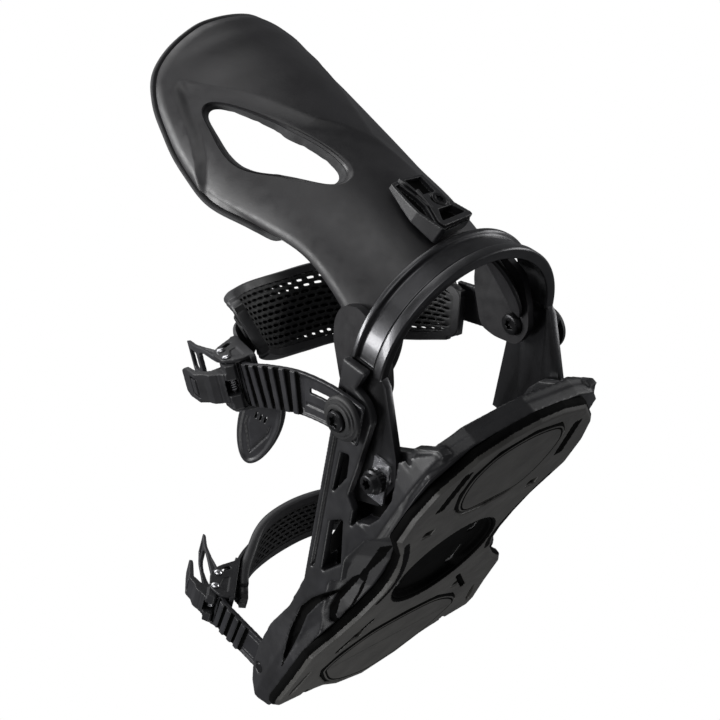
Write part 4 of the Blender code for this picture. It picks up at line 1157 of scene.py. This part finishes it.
def ladder(name, node, centres, widths, half, ribs, rib_from, rib_to, pivot, hole, extras):
    """A toothed strap with raised rims, cross ribs and a plate at its lower end."""
    path = Path(centres, widths)
    face = out_sign(path)
    rim = 1.2
    section = [
        (-half, -1.0), (half, -1.0), (half, 1.35), (half - rim, 1.35), (half - rim - 0.6, 0.6),
        (-half + rim + 0.6, 0.6), (-half + rim, 1.35), (-half, 1.35),
    ]
    section = [(a, b * face) for a, b in section]
    strap = loft(name, strap_rings(path, section, 110))
    for k in range(ribs):
        share = rib_from + (rib_to - rib_from) * k / (ribs - 1)
        rib = crossbar(path, share, -half + 0.2, half - 0.2, 0.2 * face, 2.5 * face, (2.1, 1.5))
        join(strap, loft("rib", rib))
    for start, end, low, high, bottom, top in extras:
        cut(strap, strip(path, start, end, low, high, bottom * face, top * face))
    cut(strap, prism(circle(hole, (pivot.y, pivot.z)), sideways, -78, -58))
    stand_for(moulded(strap, 0.34, 2), "ladder", node)
    marks = [path.frame(rib_from + (rib_to - rib_from) * k / 60) for k in range(61)]

    def in_shaded_gap(centre, normal):
        """The floor and the walls between two ribs, below their tops: the faces that get painted shade."""
        here, run, _, outward = min(marks, key=lambda mark: (mark[0] - centre).length_squared)
        if abs((centre - here).dot(run)) > 3.5:
            return False
        height = (centre - here).dot(outward) * face
        return 0.3 < height < 1.9 and (normal.dot(outward) * face > 0.5 or abs(normal.dot(run)) > 0.5)

    # Painted shade between the ribs.
    return darkened(strap, "painted_shade", in_shaded_gap)


def ankle_ladder():
    centres = [(-68.6, -96, 47), (-68.6, -92.8, 56.2), (-69.0, -88.0, 68.0), (-70.2, -79.0, 83.0)]
    centres += [(-71.2, -67.0, 96.5), ANKLE_ENTRY, ANKLE_ENTRY + ANKLE_RUN * 16, ANKLE_ENTRY + ANKLE_RUN * 34]
    wide = Vector((0, -0.92, 0.39))
    widths = [wide, wide, wide, Vector((0, -0.8, 0.6)), Vector((-0.05, -0.74, 0.67))] + [ANKLE_WIDTH_NEAR] * 3
    extras = [
        (0.235, 0.375, 1.6, 4.4, -3, 3),
        (0.20, 0.395, -5.4, -3.4, 0.1, 3),
        (0.405, 0.425, -8.4, 8.4, 0.0, 3),
    ]
    ladder("ankle_ladder_moulded", "ankle_ladder", centres, widths, 11.3, 11, 0.445, 0.98,
           ANKLE_PIVOT, 3.6, extras)


def toe_ladder():
    centres = [(-64.6, 86, 17.5), (-64.6, 87, 22), (-65.4, 88, 33), (-66.4, 89.5, 46), TOE_ENTRY,
               TOE_ENTRY + TOE_RUN * 10, TOE_ENTRY + TOE_RUN * 26]
    extras = [(0.30, 0.42, -6.4, -5.2, 0.2, 3), (0.30, 0.42, 5.2, 6.4, 0.2, 3)]
    ladder("toe_ladder_moulded", "toe_ladder", centres, [TOE_WIDTH_NEAR] * 7, 9.6, 9, 0.46, 0.97,
           TOE_PIVOT, 2.6, extras)


def connector(name, node, centres, widths, halves, thick, pivot, hole):
    """The plain strap on the far side, with a rim and two long grooves."""
    path = Path(centres, widths, halves)
    face = 1 if path.frame(0.5)[3].x > 0 else -1
    t = thick / 2

    def section(share):
        half = path.half(share)
        points = [(-half, -t), (half, -t), (half, t), (half - 1.4, t), (half - 2.0, t - 0.6),
                  (-half + 2.0, t - 0.6), (-half + 1.4, t), (-half, t)]
        return [(a, b * face) for a, b in points]

    strap = loft(name, strap_rings(path, section, 70))
    for low, high in ((-4.2, -2.8), (2.8, 4.2)):
        cut(strap, strip(path, 0.42, 0.9, low, high, (t - 1.3) * face, 3 * face))
    cut(strap, prism(circle(hole, (pivot.y, pivot.z)), sideways, 56, 80))
    stand_for(moulded(strap, 0.4, 2), "ladder", node)


def connectors():
    connector("ankle_connector_moulded", "ankle_connector",
              [(68.6, -95.5, 48.5), (68.6, -92.8, 56.2), (69.4, -84, 69), (69.6, -72, 86), (66.6, -61, 104)],
              [(0, -0.85, 0.53)] * 5, [11.5, 11.5, 10.5, 10.5, 10.5], 2.8, ANKLE_PIVOT, 3.6)
    connector("toe_connector_moulded", "toe_connector",
              [(64.6, 86, 17.5), (64.6, 87, 22), (65.4, 88, 34), (64.8, 89, 50), (61.6, 90, 66)],
              [(0, -0.95, 0.3)] * 5, [9, 9, 8.5, 8.5, 8.5], 2.6, TOE_PIVOT, 2.6)


# The corners round a square in quarter steps
QUARTERS = [[(k, 0), (4, k), (4 - k, 4), (0, 4 - k)][side] for side in range(4) for k in range(4)]


def lattice_strap(name, node, path, thick, hole_long, hole_high, wall, border, face):
    """An open moulded mesh: brick-laid long holes through a curved sheet, inside a plain edge."""
    mesh_data = bmesh.new()
    cell_long, pitch = hole_long + wall, hole_high + wall
    widest = max(path.half(k / 20) for k in range(21)) - border
    rows = max(3, int(2 * widest / pitch))
    columns = int(path.length / cell_long)
    top, tall = thick / 2, 2 / rows
    corners = range(len(QUARTERS))
    verts = {}

    def at(u, v, out, rim=0):
        """A shared corner: u in cells along the strap, v -1..1 across it. A hole's rim is a little lower."""
        key = (rim, round(u * 4096), round(v * 4096), round(out * 100))
        if key not in verts:
            share = path.share_at(min(max(u, 0), columns) / columns * path.length)
            bulge = 0.55 * (1 - v * v) if out > 0 else 0
            height = out * 0.86 if rim else out
            point = path.point(share, v * (path.half(share) - border), (height + bulge) * face)
            verts[key] = mesh_data.verts.new(point * MM)
        return verts[key]

    def cell(u, v, out):
        """The corners round a cell, in quarter steps."""
        return [at(u + a / 4, v + b / 4 * tall, out) for a, b in QUARTERS]

    def hole(u, v, out):
        """The corners of the hole in a cell, its own corners drawn in and its ends a little fuller."""
        ring = []
        for a, b in QUARTERS:
            x, y = a / 2 - 1, b / 2 - 1
            bend = 0.80 if abs(x) == 1 and abs(y) == 1 else 1.0
            if abs(x) == 1 and abs(y) < 1:
                x *= 1.08
            along, across = 0.5 * hole_long / cell_long * x * bend, 0.5 * hole_high / pitch * y * bend
            ring.append(at(u + 0.5 + along, v + (0.5 + across) * tall, out, 1))
        return ring

    def ribbon(first, second, flip=1):
        """Faces between two rings of corners."""
        for k in corners:
            n = (k + 1) % len(corners)
            mesh_data.faces.new((first[k], first[n], second[n], second[k])[::flip])

    for row in range(rows):
        v = -1 + row * tall
        shift = 0.5 * (row % 2)
        for column in range(columns):
            u = column + shift
            if u + 1 > columns:
                continue
            if u < 0.9 or u > columns - 1.9:
                mesh_data.faces.new(cell(u, v, top))
                mesh_data.faces.new(cell(u, v, -top)[::-1])
                continue
            ribbon(cell(u, v, top), hole(u, v, top))
            ribbon(cell(u, v, -top), hole(u, v, -top), -1)
            ribbon(hole(u, v, top), hole(u, v, -top))
        # Half cells at both ends of the shifted rows
        for u in (0.0, columns - 0.5) if shift else ():
            for out in (top, -top):
                low = [at(u + q / 4, v, out) for q in range(3)]
                high = [at(u + q / 4, v + tall, out) for q in range(3)]
                left, right = ([at(end, v + b / 4 * tall, out) for b in (1, 2, 3)] for end in (u, u + 0.5))
                mesh_data.faces.new(low + right + high[::-1] + left[::-1])
    # Walls round the whole sheet
    bmesh.ops.bridge_loops(mesh_data, edges=[e for e in mesh_data.edges if len(e.link_faces) == 1])
    return stand_for(smooth(object_from(mesh_data, name), 50), "strap_core", node)


def strap_border(name, body, path, thick, width, face):
    """The smooth edge all round a pad: a rolled bead with a second fine bead inside it."""
    t = thick / 2
    section = [
        (0.4, -t * 0.9), (-0.3, -t * 0.55), (-0.3, t * 0.7), (0.3, t + 0.35), (1.1, t + 0.75), (1.9, t + 0.55),
        (2.3, t + 0.25), (2.7, t + 0.55), (3.3, t + 0.65), (3.9, t + 0.3), (width, t * 0.9), (width, -t * 0.9),
    ]
    corner, count, well_in = 7.0, 100, 12

    def side_run(sign, backwards):
        shares = np.linspace(corner, path.length - corner, count)
        return [(s, sign * path.half(path.share_at(s))) for s in (shares[::-1] if backwards else shares)]

    def end_cap(at, sign, first):
        """A rounded end: two quarter turns joined by a straight run across the strap."""
        half = path.half(path.share_at(at))
        middle = at - sign * corner
        turns = [radians(6 + 78 * k / 7) for k in range(8)]
        arc = [(middle + sign * corner * sin(t), first * (half - corner + corner * cos(t))) for t in turns]
        across = [(at, first * (half - corner) * (1 - 2 * k / 6)) for k in range(1, 6)]
        back = [(s, -h) for s, h in reversed(arc)]
        return arc + across + back

    outline = side_run(-1, False) + end_cap(path.length, 1, -1) + side_run(1, True) + end_cap(0.0, -1, 1)
    places = [path.point(path.share_at(s), h, 0) for s, h in outline]
    rings = []
    for i, (distance, _) in enumerate(outline):
        outward = path.frame(path.share_at(distance))[3]
        ahead = places[(i + 1) % len(outline)] - places[i - 1]
        ahead = (ahead - outward * ahead.dot(outward)).normalized()
        inward = outward.cross(ahead)
        centre = path.point(path.share_at(min(max(distance, well_in), path.length - well_in)), 0, 0)
        if inward.dot(centre - places[i]) < 0:
            inward = -inward
        rings.append([places[i] + inward * a + outward * b * face for a, b in section])
    return smooth(added(loft(name, rings, closed=True), body, "border"), 45)


def strap_spine(name, body, path, shares, band, depth, face):
    """The flexible spine along the outside of a pad, with shallow cross grooves."""
    rings = []
    count = 150
    for i in range(count + 1):
        share = shares[0] + (shares[1] - shares[0]) * i / count
        half = path.half(share)
        ends = min(1.0, 12 * min(i, count - i) / count + 0.25)
        low, high = band[0] * half * ends, band[1] * half * ends
        top = depth + 1.1 - (0.45 if i % 6 < 2 else 0.0)
        section = [(low, depth), (high, depth), (high, top - 0.5), (high - 0.8, top), (low + 0.8, top),
                   (low, top - 0.5)]
        rings.append([path.point(share, a, b * face) for a, b in section])
    return smooth(added(loft(name, rings), body, "strap_core"), 35)


def strap_tail(name, body, centres, widths, halves, thick):
    """The plain tongue that joins a pad to its buckle."""
    path = Path(centres, widths, halves)
    top, shoulder = thick / 2, thick * 0.3

    def section(share):
        half = path.half(share)
        edge = half - 1.0
        return [(-half, -shoulder), (-edge, -top), (edge, -top), (half, -shoulder),
                (half, shoulder), (edge, top), (-edge, top), (-half, shoulder)]

    return smooth(added(loft(name, strap_rings(path, section, 60)), body, "border"), 40)


ANKLE_PAD_CENTRES = [
    (-51, -56, 135), (-41.5, -43.5, 144), (-24, -32.5, 149), (0, -27.5, 150), (22, -30.5, 146),
    (41.5, -39, 133), (54.5, -50.5, 114.5), (59.5, -63.5, 95),
]
ANKLE_PAD_WIDTHS = [
    (-0.25, -0.5, 0.83), (-0.2, -0.42, 0.89), (-0.1, -0.37, 0.92), (0, -0.36, 0.93), (0.05, -0.45, 0.89),
    (0.1, -0.6, 0.8), (0.15, -0.7, 0.7), (0.15, -0.75, 0.64),
]
ANKLE_TAIL = [
    (-56.5, -43, 120), (-52.5, -38.5, 129.5), (-46.5, -36, 138), (-38.5, -34.5, 144), (-29, -30.5, 147.5),
]
ANKLE_TAIL_WIDTHS = [
    (-0.1, -0.72, 0.685), (-0.1, -0.72, 0.685), (-0.15, -0.6, 0.78), (-0.15, -0.45, 0.88), (-0.1, -0.38, 0.92),
]
TOE_PAD_CENTRES = [
    (-50.4, 93.5, 59.4), (-42.2, 95, 70.3), (-29.4, 96, 79.9), (-15, 96, 86.3), (0, 95, 89), (18, 94, 89),
    (36, 92.5, 85), (50, 91, 75), (57.5, 89.5, 60),
]
TOE_PAD_WIDTHS = [(0, -0.97, 0.24)] * 3 + [(0, -0.9, 0.43)] + [(0, -0.85, 0.53)] * 5
TOE_TAIL = [(-52, 94, 68), (-45, 95.3, 75.5), (-34, 96, 82.3), (-20, 96, 88)]


def pads():
    ankle = Path(ANKLE_PAD_CENTRES, ANKLE_PAD_WIDTHS, [15.5, 18.5, 21, 21.5, 21.5, 21, 19, 14])
    face = 1 if ankle.frame(0.5)[3].z > 0 else -1
    lattice_strap("ankle_pad_mesh", "ankle_pad", ankle, 4.6, 4.0, 1.45, 1.55, 2.2, face)
    strap_border("ankle_pad_border", "ankle_strap", ankle, 5.6, 4.2, face)
    strap_spine("ankle_pad_spine", "ankle_strap", ankle, (0.06, 0.94), (-0.62, 0.42), 2.9, face)
    strap_tail("ankle_pad_tail", "ankle_strap", ANKLE_TAIL, ANKLE_TAIL_WIDTHS, [9, 9.5, 9.5, 8.5, 6], 2.4)
    toe = Path(TOE_PAD_CENTRES, TOE_PAD_WIDTHS, [6, 10, 12.5, 13, 13, 13, 12.5, 11, 9.5])
    face = 1 if toe.frame(0.5)[3].z > 0 else -1
    lattice_strap("toe_pad_mesh", "toe_pad", toe, 3.8, 3.4, 1.3, 1.3, 2.0, face)
    strap_border("toe_pad_border", "toe_strap", toe, 4.6, 3.9, face)
    strap_spine("toe_pad_spine", "toe_strap", toe, (0.06, 0.94), (-0.5, 0.5), 2.5, face)
    strap_tail("toe_pad_tail", "toe_strap", TOE_TAIL, [(0, -0.97, 0.24)] * 4, [7.5, 7.5, 7, 5], 2.2)


def ankle_tongue():
    """The padded tongue below the buckle, with a rolled rim and an engraved line."""
    centre = Vector((-57.0, -22.0, 101.5))
    run = Vector((0.0, 0.985, -0.17)).normalized()
    wide = Vector((-0.35, -0.15, 0.92))
    wide = (wide - run * wide.dot(run)).normalized()
    out = wide.cross(run)

    def local(u, v, w):
        return centre + run * u + wide * v + out * w

    def ring(scale, depth, inset=0.0):
        """An egg shape, narrower towards its front end."""
        half_long, half_wide = 28 * scale - inset, 11.6 * scale - inset
        egg = [(u, v * (1.0 - 0.16 * u)) for u, v in circle(1.0, count=96)]
        return [local(half_long * u, half_wide * v, depth) for u, v in egg]

    rings = [ring(0.85, -2.4), ring(0.95, -2.2), ring(1.0, -1.4), ring(1.0, 0.6), ring(0.97, 1.9),
             ring(0.93, 2.5), ring(0.93, 2.6, 0.8), ring(0.93, 2.2, 1.6), ring(0.93, 1.5, 2.2)]
    tongue = loft("ankle_tongue_moulded", rings)
    arrow = [(21, 0), (3.4, 7), (-2.5, 7), (-2.5, 5.4), (2.8, 5.4)]
    arrow += [(17, 0)] + [(u, -v) for u, v in reversed(arrow[1:])]
    cut(tongue, prism(arrow, local, 0.7, 4))
    for v in (-2.6, 0.0, 2.6):
        cut(tongue, prism(slot_outline((-7, v), (-3.4, v), 0.55), local, -4, 4))
    stand_for(moulded(tongue, 0.4, 3), "strap_rubber", "ankle_tongue")


# Buckles

def strap_matrix(along, width):
    """Local axes of a buckle: x across the ladder, y along it and z outwards."""
    y = Vector(along).normalized()
    x = Vector(width)
    x = (x - y * x.dot(y)).normalized()
    return Matrix((x, y, x.cross(y))).transposed().to_4x4()


def buckle(name, scale, along, width, entry, reach=1.0, lift=0.0):
    """Frame, ratchet lever, release pawl, their pins and the pawl spring, on a ladder."""
    matrix = strap_matrix(along, width)

    def local(obj):
        obj.data.transform(Matrix.Scale(scale, 4))
        return placed(obj, matrix, entry)

    pieces = {
        "buckle_frame": (buckle_frame(f"{name}_buckle_frame_moulded"), "nylon", 0.36),
        "ratchet_lever": (lever_body(f"{name}_ratchet_lever_moulded", reach, lift), "lever", 0.32),
        "release_pawl": (pawl_body(f"{name}_release_pawl_moulded"), "nylon", 0.32),
    }
    for label, (obj, look, voxel) in pieces.items():
        stand_for(moulded(local(obj), voxel, 2), look, f"{name}_{label}")
    head = [(-17.9, 1.6), (-17.7, 2.0), (-17.4, 2.6), (-17.1, 2.9), (-16.7, 2.9), (-16.7, 1.6)]
    profile = head + [(-at, radius) for at, radius in reversed(head)]
    for label, centre in (("lever", LEVER_PIVOT), ("pawl", PAWL_PIVOT)):
        pin = turned(f"{name}_{label}_pin_finished", profile, (0, *centre), (1, 0, 0), 32)
        stand_for(smooth(local(pin)), "steel", f"{name}_{label}_pin")
    stand_for(smooth(local(pawl_spring(f"{name}_pawl_spring_finished"))), "steel", f"{name}_pawl_spring")


def buckle_frame(name):
    base = [(-16.4, -6), (16.4, -6), (16.4, 36), (9, 44), (-9, 44), (-16.4, 36)]
    made = loft(name, prism(rounded(base, 3), upright, -7.0, -3.6))
    cheek = [(-5, -4.5), (-5, 4), (2, 12.5), (16, 13.5), (24, 9), (34, -3.7), (34, -4.5)]
    for sign in (-1, 1):
        join(made, loft("cheek", prism(rounded(cheek, 3), sideways, sign * 14.2, sign * 16.4)))
    holes = [prism(circle(1.9, centre, 24), sideways, -20, 20) for centre in (LEVER_PIVOT, PAWL_PIVOT)]
    holes.append(prism(slot_outline((24.5, 0.6), (21.5, 4.2), 1.5), sideways, -20, 20))
    cut(made, *holes)
    panel = rounded([(0, -1.5), (0, 2.5), (4, 5.6), (13, 3.5), (16, -1.5)], 1.2)
    cut(made, prism(panel, sideways, -17, -15.9), prism(panel, sideways, 15.9, 17))
    return made


def lever_body(name, reach, lift):
    """A flat plate with two openings, one behind the other. The pawl's tab passes through the first."""
    side = [
        (13.5, 5.4), (17, 4.4), (22, 5.6), (38, 10.6), (54, 13.4), (69, 13.4), (71.5, 15.6), (56, 16.2),
        (40, 14.4), (24, 12.9), (14.5, 11.6),
    ]
    plate = loft(name, prism(rounded(side, 3, 3), sideways, -13.4, 13.4))
    end = LEVER_PIVOT[0] + 31.5 / reach
    first = [(-10.2, -5), (10.2, -5), (10.2, end - 7), (8.6, end - 3), (6.0, end)]
    cut(plate, prism(first + [(-x, y) for x, y in reversed(first[2:])], upright, -5, 40))
    taper = [(13.5, 34), (9.4, 75), (20, 75), (20, 34)]
    cut(plate, prism(taper, upright, -5, 40))
    cut(plate, prism([(-x, y) for x, y in reversed(taper)], upright, -5, 40))
    second = [(-7.4, end + 3.6), (7.4, end + 3.6), (6.6, 66.5), (-6.6, 66.5)]
    cut(plate, prism(rounded(second, 2.0), upright, -5, 40))
    arm = rounded([(22, 10.2), (38, 13.3), (38, 12.0), (30, 9.6), (22, 7.4)], 0.8)
    cut(plate, prism(arm, sideways, -14, -12.9), prism(arm, sideways, 12.9, 14))
    pivot = Matrix.Translation(Vector((0, *LEVER_PIVOT)) * MM)
    shape = Matrix.Rotation(lift, 4, "X") @ Matrix.Diagonal((1, reach, 1, 1))
    plate.data.transform(pivot @ shape @ pivot.inverted())
    return cut(plate, prism(circle(1.9, LEVER_PIVOT, 24), sideways, -20, 20))


def pawl_body(name):
    """A stepped block over the ladder, with a thumb tab that stands away from it."""
    side = [
        (-5.5, 7.5), (-4, 6.0), (10.2, 4.0), (11.6, 8), (10.6, 18), (16, 24.5), (35, 27.5), (34, 30),
        (14, 28), (9, 23.5), (4, 21.5), (-1, 15), (-4, 13),
    ]
    block = loft(name, prism(side, sideways, -13.6, 13.6))
    for sign in (-1, 1):
        for start, low in ((7.2, 0.0), (-20, 12.5)):
            beside = [(sign * 9.2, start), (sign * 20, start), (sign * 20, 45), (sign * 9.2, 45)]
            cut(block, prism(beside, upright, low, 40))
    cut(block, prism([(-5.0, -8), (5.0, -8), (5.0, 9.6), (-5.0, 9.6)], upright, 0, 14))
    # Round the thumb tab's end and raise a thin frame on its stem
    corner = [(4.5, 36.5), (9.6, 36.5), (9.6, 24), (9.0, 29.5), (7.2, 33.2)]
    for sign in (-1, 1):
        cut(block, prism([(sign * x, y) for x, y in corner], upright, 20, 40))
    groove = [(-6.2, 13.5), (6.2, 13.5), (6.2, 22.5), (-6.2, 22.5)]
    island = [(-4.8, 14.9), (4.8, 14.9), (4.8, 21.1), (-4.8, 21.1)]
    frame_cut = loft("frame_cut", prism(groove, upright, 26.6, 40))
    cut(frame_cut, prism(island, upright, 20, 45))
    combine(block, frame_cut)
    # Facet lines across the front, parallel to the ladder's ribs
    bands = [prism([(y, z), (y + 0.9, z), (y + 0.9, z + 0.9), (y, z + 0.9)], sideways, -14, 14)
             for y, z in ((-4.6, 10.2), (-3.3, 13.2), (0.2, 16.9))]
    cut(block, *bands)
    return cut(block, prism(circle(1.9, PAWL_PIVOT, 24), sideways, -20, 20))


def pawl_spring(name):
    """A torsion spring wound round the pawl pin."""
    turns, steps, sides = 5, 24, 8
    wire, radius = 0.5, 2.9
    rings = []
    total = turns * steps
    for i in range(total + 1):
        turn = 2 * pi * i / steps
        x = -3.6 + 7.2 * i / total
        centre = Vector((x, PAWL_PIVOT[0] + radius * cos(turn), PAWL_PIVOT[1] + radius * sin(turn)))
        out = Vector((0, cos(turn), sin(turn)))
        corners = [2 * pi * k / sides for k in range(sides)]
        rings.append([centre + wire * (out * cos(t) + Vector((1, 0, 0)) * sin(t)) for t in corners])
    return loft(name, rings)


# Strap mounts

def ankle_mount(sign, side):
    """The stepped cap, its screw and the nut behind the strut."""
    out = 70.3 if sign < 0 else 71.0
    axis = (sign, 0, 0)
    steps = [
        (out, 11.5), (out + 1.5, 11.5), (out + 2.1, 11.2), (out + 2.5, 10.6), (out + 2.6, 9.9),
        (out + 3.4, 9.5), (out + 3.5, 8.4), (out + 4.4, 8.0), (out + 4.6, 7.2), (out + 4.6, 6.0),
        (out + 3.6, 5.7),
    ]
    cap = turned(f"ankle_cap_{side}_finished", steps, ANKLE_PIVOT, axis, 96, bore=3.3)
    stand_for(smooth(cap, 32), "strap_core", f"ankle_cap_{side}")
    shank = [
        (60.6, 2.9), (out + 3.9, 2.9), (out + 3.9, 5.0), (out + 5.0, 5.3), (out + 6.0, 5.2),
        (out + 6.6, 4.6),
    ]
    screw = turned(f"ankle_screw_{side}_finished", shank, ANKLE_PIVOT, axis, 64)
    cut(screw, star_recess(ANKLE_PIVOT, axis, 3.4, out + 4.6, out + 8, 5))
    stand_for(bevelled(screw, 0.15), "black_metal", f"ankle_screw_{side}")
    nut = turned(f"ankle_nut_{side}_finished", [(60.5, 3.8), (60.8, 4.0), (65.7, 4.0), (66.0, 3.8)],
                 ANKLE_PIVOT, axis, 40, bore=3.2)
    stand_for(smooth(nut), "steel", f"ankle_nut_{side}")


def toe_pin(sign, side):
    profile = [(57.4, 2.0), (57.7, 2.2), (69.6, 2.2), (69.6, 2.7), (70.6, 2.7), (71.0, 2.3)]
    pin = turned(f"toe_pin_{side}_finished", profile, TOE_PIVOT, (sign, 0, 0), 40)
    stand_for(smooth(pin), "black_metal", f"toe_pin_{side}")


# Studio

# In millimetres for a 36 mm sensor, and the middle of the binding with the camera's distance from it in metres
LENS = 112.3125
TARGET = Vector((20.35, -22.65, 111.39)) * MM
DISTANCE = 1.17457


def camera():
    """A long lens from low on the inner side, behind the heel, rolled so that the highback leans."""
    azimuth, elevation, roll = radians(40.808), radians(18.686), radians(38.6)
    ahead = Vector((sin(azimuth) * cos(elevation), cos(azimuth) * cos(elevation), sin(elevation)))
    right = Vector((cos(azimuth), -sin(azimuth), 0))
    above = right.cross(ahead)
    turned_right = right * cos(roll) - above * sin(roll)
    turned_up = right * sin(roll) + above * cos(roll)
    data = bpy.data.cameras.new("camera")
    data.sensor_width = 36.0
    data.lens = LENS
    data.clip_start, data.clip_end = 0.05, 20
    obj = bpy.data.objects.new("camera", data)
    axes = Matrix((turned_right, turned_up, -ahead)).transposed().to_4x4()
    obj.matrix_world = Matrix.Translation(TARGET - ahead * DISTANCE) @ axes
    bpy.context.scene.collection.objects.link(obj)
    bpy.context.scene.camera = obj
    return turned_right, turned_up, -ahead


def softbox(name, direction, target, distance, size, power):
    """A rectangular lamp that faces its target from a distance in metres."""
    data = bpy.data.lights.new(name, "AREA")
    data.shape = "RECTANGLE"
    data.size, data.size_y = size
    data.energy = power
    obj = bpy.data.objects.new(name, data)
    direction = Vector(direction).normalized()
    obj.location = target + direction * distance
    obj.rotation_mode = "QUATERNION"
    obj.rotation_quaternion = direction.to_track_quat("Z", "Y")
    bpy.context.scene.collection.objects.link(obj)


def studio(right, above, back):
    """Softboxes placed round the camera, a bright surround and a pale floor that is seen from above only."""
    def towards(a, b, c):
        return right * a + above * b + back * c

    softbox("key", towards(-0.94, 0.12, 0.29), TARGET, 1.1, (0.26, 0.85), 16)
    softbox("fill", towards(-0.2, 0.75, 0.9), TARGET, 1.6, (1.2, 1.2), 8)
    softbox("edge", towards(0.95, 0.35, -0.25), TARGET, 1.2, (0.35, 1.0), 5)
    toe = Vector((-35, 125, 0)) * MM
    softbox("under", towards(0.22, -0.86, 0.45), toe, 0.32, (0.25, 0.2), 0.65)
    softbox("top", (0.1, -0.2, 1.0), TARGET, 1.5, (1.2, 1.2), 8)

    world = bpy.data.worlds.new("surround")
    bpy.context.scene.world = world
    world.use_nodes = True
    tree = world.node_tree
    backdrop = tree.nodes["Background"]
    backdrop.inputs["Color"].default_value = (1, 1, 1, 1)
    backdrop.inputs["Strength"].default_value = 1.0
    ambient = tree.nodes.new("ShaderNodeBackground")
    ambient.inputs["Color"].default_value = (0.95, 0.96, 1.0, 1)
    ambient.inputs["Strength"].default_value = 0.14
    mixer = tree.nodes.new("ShaderNodeMixShader")
    rays_in = tree.nodes.new("ShaderNodeLightPath")
    tree.links.new(rays_in.outputs["Is Camera Ray"], mixer.inputs["Fac"])
    tree.links.new(ambient.outputs[0], mixer.inputs[1])
    tree.links.new(backdrop.outputs[0], mixer.inputs[2])
    tree.links.new(mixer.outputs[0], tree.nodes["World Output"].inputs["Surface"])
    floor()


def floor():
    """A pale floor just under the base. It lets light and sight through from below."""
    mesh_data = bmesh.new()
    bmesh.ops.create_grid(mesh_data, x_segments=1, y_segments=1, size=3.0)
    plane = object_from(mesh_data, "floor")
    plane.location.z = -0.0006
    material = bpy.data.materials.new("floor")
    material.use_nodes = True
    tree = material.node_tree
    shader = tree.nodes["Principled BSDF"]
    shader.inputs["Base Color"].default_value = (0.86, 0.86, 0.85, 1)
    shader.inputs["Roughness"].default_value = 0.7
    clear = tree.nodes.new("ShaderNodeBsdfTransparent")
    mixer = tree.nodes.new("ShaderNodeMixShader")
    geometry = tree.nodes.new("ShaderNodeNewGeometry")
    rays = tree.nodes.new("ShaderNodeLightPath")
    either = tree.nodes.new("ShaderNodeMath")
    either.operation = "MULTIPLY"
    front = tree.nodes.new("ShaderNodeMath")
    front.operation = "SUBTRACT"
    front.inputs[0].default_value = 1.0
    tree.links.new(geometry.outputs["Backfacing"], front.inputs[1])
    tree.links.new(rays.outputs["Is Camera Ray"], either.inputs[0])
    tree.links.new(front.outputs[0], either.inputs[1])
    tree.links.new(either.outputs[0], mixer.inputs["Fac"])
    tree.links.new(clear.outputs[0], mixer.inputs[1])
    tree.links.new(shader.outputs[0], mixer.inputs[2])
    tree.links.new(mixer.outputs[0], tree.nodes["Material Output"].inputs["Surface"])
    plane.data.materials.append(material)


# Everything together

def build():
    highback_shell()
    highback_liner()
    lean_adjuster()
    heel_hoop()
    chassis()
    base_plate()
    base_pad("toe_base_pad", TOE_PAD_HALF)
    base_pad("heel_base_pad", HEEL_PAD_HALF)
    footbeds()
    mounting_disc()
    for sign, side in SIDES:
        highback_fasteners(sign, side)
        hoop_fasteners(sign, side)
        ankle_mount(sign, side)
        toe_pin(sign, side)
    ankle_ladder()
    toe_ladder()
    connectors()
    pads()
    ankle_tongue()
    buckle("ankle", ANKLE_BUCKLE_SCALE, ANKLE_RUN, ANKLE_WIDTH_NEAR, ANKLE_ENTRY + ANKLE_RUN * 6)
    buckle("toe", TOE_BUCKLE_SCALE, TOE_RUN, TOE_WIDTH_NEAR, TOE_ENTRY + TOE_RUN * 4,
           TOE_LEVER_REACH, TOE_LEVER_LIFT)


build()
studio(*camera())
bpy.context.scene.view_settings.view_transform = "Standard"
